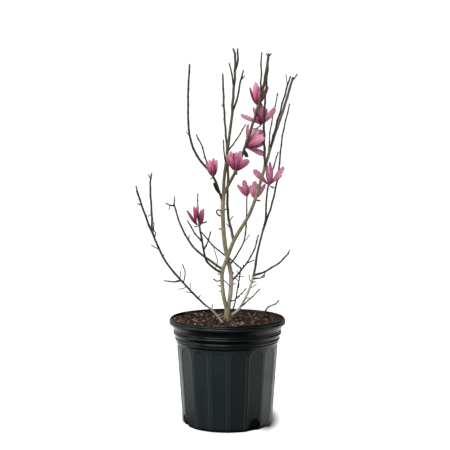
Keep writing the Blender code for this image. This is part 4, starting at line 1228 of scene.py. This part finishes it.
shape = bmesh.new()
stalks = []
swellings = []
for name, (host, leaves_at, base, axis, tone, tepals) in BLOSSOMS.items():
    base = Vector(base)
    axis = Vector(axis).normalized()
    start = limbs[host].at_height(leaves_at)
    neck = base - axis * NECK_LENGTH
    dip = Vector((0, 0, STALK_SAG * (neck - start).length))
    path = smooth_path([start, start.lerp(neck, 0.55) - dip, neck, base + axis * 2], STALK_STEP)
    stalks.append(Limb(path, [STALK_RADIUS + STALK_FLARE * i / (len(path) - 1) for i in range(len(path))]))
    swellings.append((base, axis))
    for right, back, up, width, curl, *own in tepals:
        rows = tepal(base, axis, (right, back, up), width, curl, rng)
        add_tepal(shape, rows, tone + sum(own) + rng.uniform(-TONE_SPREAD, TONE_SPREAD), rng)
# Thin tepals are turned out while still a shape: turned out as a mesh, some end up inside out
petals = mesh_from("petals", turned_out(shape))
petals_piece = placed("petals", petals)
for side, tones, bands in (("outside", OUTER_TONES, OUTER_BANDS), ("inside", INNER_TONES, INNER_BANDS)):
    for i in range(bands):
        stops = np.linspace(0, 1, len(tones))
        colour = [float(np.interp(i / (bands - 1), stops, [tone[c] for tone in tones])) for c in range(3)]
        petals.materials.append(petal_tone(f"petal_{side}_{i}", colour))
petals.materials.append(petal_tone("petal_rim", PALE_RIM_AND_HIGHLIGHT))
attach(petals_piece, "root")


# Flower stalks and hearts
# A short green-brown stalk carries each blossom, with a swollen seat for the tepals and a small cone of
# pistils inside them.
STALK_SIDES = 10
# The seat and the cone, as places along the blossom's axis and the radius there; mm
SEAT = ((-2.6, 1.5), (-1.4, 2.4), (0, 2.9), (1.6, 2.4), (2.8, 1.5))
PISTILS = ((2, 2.0), (5, 2.2), (9, 1.7), (12.5, 1.0), (14, 0.4))

for base, axis in swellings:
    for section in (SEAT, PISTILS):
        stalks.append(Limb([base + axis * along for along, _ in section], [radius for _, radius in section]))
freckled, _ = mottled("green_stalk", ((0.3, (0.055, 0.05, 0.03)), (0.7, (0.16, 0.15, 0.075))),
                      roughness=0.55, specular=0.3, scale=520)
stalk_piece = run_tree(
    limb_curves("flower_stalks", stalks), tubes, {"Sides": STALK_SIDES, "Finish": freckled})
outward(stalk_piece.data)
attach(stalk_piece, "root")


# Dried leaves
# A few of last year's leaves and the bracts shed by the opening flowers, dried hard, curled and dark,
# still hanging by their stubs from the stems under the blossoms.
DRY_TONES = (
    (0.010, 0.006, 0.005), (0.022, 0.014, 0.010), (0.060, 0.045, 0.032), (0.150, 0.135, 0.095),
    (0.260, 0.245, 0.180),
)
# Each: its foot, its axis, its tip from the foot (right, back, up), width, curl and how pale it is; mm
DRIED = (
    ((-19, -11, 541), (-0.4, -0.3, 0.9), (-13, -4, 24), 8, 0.3, -0.1),
    ((-18, -12, 540), (-0.2, -0.5, 0.9), (-9, -6, 15), 6, 0.6, -0.2),
    ((38, -22, 643), (0.9, -0.5, 0.1), (10, -6, -16), 9, -0.9, -0.2),
    ((37, -24, 639), (0.3, -0.9, -0.1), (7, -8, -15), 8, 0.8, -0.15),
    ((33, -20, 629), (-0.5, -0.8, 0.3), (-4, -5, 9), 6, 0.4, -0.1),
    ((99, 60, 556), (0.8, -0.4, 0.1), (10, -5, -8), 7, 0.4, 0.6),
    ((-61, -61, 471), (0.9, -0.3, 0.3), (15, -3, 10), 4.5, 0.3, 0.9),
    ((-66, -61, 470), (-0.9, -0.3, 0.1), (-10, -2, -2), 3.5, 0.3, 0.9),
    ((66, 44, 524), (0.8, -0.4, 0.0), (11, -4, -5), 5, 0.3, 0.85),
    ((-34, -25, 579), (0.7, -0.5, 0.0), (7, -4, -7), 5, 0.5, 0.2),
    ((62, -24, 716), (0.8, -0.5, 0.2), (8, -4, 6), 6, 0.5, 0.0),
)


def dry_tone(name, colour):
    """One tone of dry leaf: veined, papery and dull."""
    return mottled(name, shades(colour, 0.5, 1.6), roughness=0.8, specular=0.2,
                   scale=650, grain=0.7, strength=0.6, depth=0.3)[0]


shape = bmesh.new()
for foot, axis, tip, width, curl, pale in DRIED:
    add_tepal(shape, tepal(Vector(foot), Vector(axis).normalized(), tip, width, curl, rng), pale, rng)
for face in turned_out(shape).faces:
    share = face.material_index / OUTER_BANDS if face.material_index < OUTER_BANDS else 0.3
    face.material_index = min(len(DRY_TONES) - 1, int(share * len(DRY_TONES)))
leaves = mesh_from("dried_leaves", shape)
for i, colour in enumerate(DRY_TONES):
    leaves.materials.append(dry_tone(f"dry_leaf_{i}", colour))
leaves_piece = placed("dried_leaves", leaves)
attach(leaves_piece, "root")


# Studio
# Not part of the plant: a pale seamless floor, soft lights from both sides and above against a white
# surround, and the camera at the photo's place and viewing angle.
CAMERA_PLACE = (-0.00558, -3.0, 0.73)
CAMERA_PITCH = math.radians(84.98)
CAMERA_LENS = 104.16
# Each light: its name, its place, what it is aimed at, its width and height in m, and its power in W
SOFT_LIGHTS = (
    ("left_softbox", (-1.5, -0.30, 0.75), (0, 0, 0.4), 0.7, 1.6, 5),
    ("right_softbox", (1.4, 0.0, 0.9), (0, 0, 0.4), 0.6, 1.2, 2),
    ("top_softbox", (-0.8, -0.3, 2.2), (0, 0, 0.2), 1.2, 1.2, 9),
    ("front_softbox", (-1.1, -2.2, 2.0), (0, 0, 0.5), 2.4, 0.7, 60),
)
FLOOR = ((-3, -1.5), (3, 5))
PAPER_LIFT = 0.72
# The painted shadow round the pot's foot: its darkest share, the shift of its centre and the distances over
# which it fades; m
CONTACT_SHADE = 0.25
SHADOW_SHIFT = (-0.004, -0.025, 0)
SHADOW_FADE = (0.100, 0.122)


def soft_light(name, place, target, width, height, power):
    """A rectangular soft light aimed at a place."""
    light = bpy.data.lights.new(name, "AREA")
    light.shape = "RECTANGLE"
    light.size = width
    light.size_y = height
    light.energy = power
    made = placed(name, light)
    made.location = place
    made.rotation_euler = (Vector(target) - Vector(place)).to_track_quat("-Z", "Y").to_euler()


(left, front), (right, back) = FLOOR
corners = [(left, front, 0), (right, front, 0), (right, back, 0), (left, back, 0)]
floor = placed("studio_floor", mesh_of("studio_floor", corners, [(0, 1, 2, 3)]))
# The paper is dim in front of the pot and white behind it. The camera sees it plain white but for a painted
# shadow round the pot's foot, and the plant is lit by a greener glow that the paper gives off, in place of
# the light it would throw back.
paper, tree, shader, place = new_finish("white_paper", 0.9, 0.1)
behind = vector_in(tree, "DOT_PRODUCT", vector_in(tree, "NORMALIZE", place), (0.31, 1, 0))
squeezed = node_in(tree, "ShaderNodeMapping", {
    "Vector": place, "Location": SHADOW_SHIFT, "Scale": (1, 0.5, 1)})
away = vector_in(tree, "LENGTH", squeezed)
pale = range_in(tree, behind, (-0.5, 0.0), (0.06, 0.8))
painted_contact_shadow = range_in(tree, away, SHADOW_FADE, (CONTACT_SHADE, 1.0))
tree.links.new(math_in(tree, "MULTIPLY", pale, painted_contact_shadow), shader.inputs["Base Color"])
bright = range_in(tree, behind, (-0.12, 0.68), (0.0, 0.53))
# What the camera sees: white, less a painted shadow near the pot's foot
under = range_in(tree, away, SHADOW_FADE, (0.0, PAPER_LIFT))
shown = range_in(tree, behind, (-0.5, 0.0), (1.0, under))
seen = node_in(tree, "ShaderNodeLightPath", out="Is Camera Ray")
tree.links.new(range_in(tree, seen, (0, 1), (bright, shown)), shader.inputs["Emission Strength"])
tree.links.new(mix_in(tree, seen, (0.97, 1.0, 0.90, 1), (1, 1, 1, 1)), shader.inputs["Emission Color"])
floor.data.materials.append(paper)
for row in SOFT_LIGHTS:
    soft_light(*row)

surround = bpy.data.worlds.new("white_surround")
surround.use_nodes = True
bpy.context.scene.world = surround
sky = surround.node_tree
seen = node_in(sky, "ShaderNodeLightPath", out="Is Camera Ray")
toward = node_in(sky, "ShaderNodeTexCoord", out="Generated")
glow = math_in(sky, "ADD", vector_in(sky, "DOT_PRODUCT", toward, (-0.38, -0.22, 0)), 0.42)
sky.links.new(range_in(sky, seen, (0, 1), (glow, 1.1)), sky.nodes["Background"].inputs["Strength"])
sky.nodes["Background"].inputs["Color"].default_value = (1, 1, 1, 1)

camera = placed("photo_camera", bpy.data.cameras.new("photo_camera"))
camera.location = CAMERA_PLACE
camera.rotation_euler = (CAMERA_PITCH, 0, 0)
camera.data.lens = CAMERA_LENS
camera.data.sensor_width = 36
camera.data.clip_end = 100
bpy.context.scene.camera = camera
bpy.context.scene.view_settings.view_transform = "Standard"
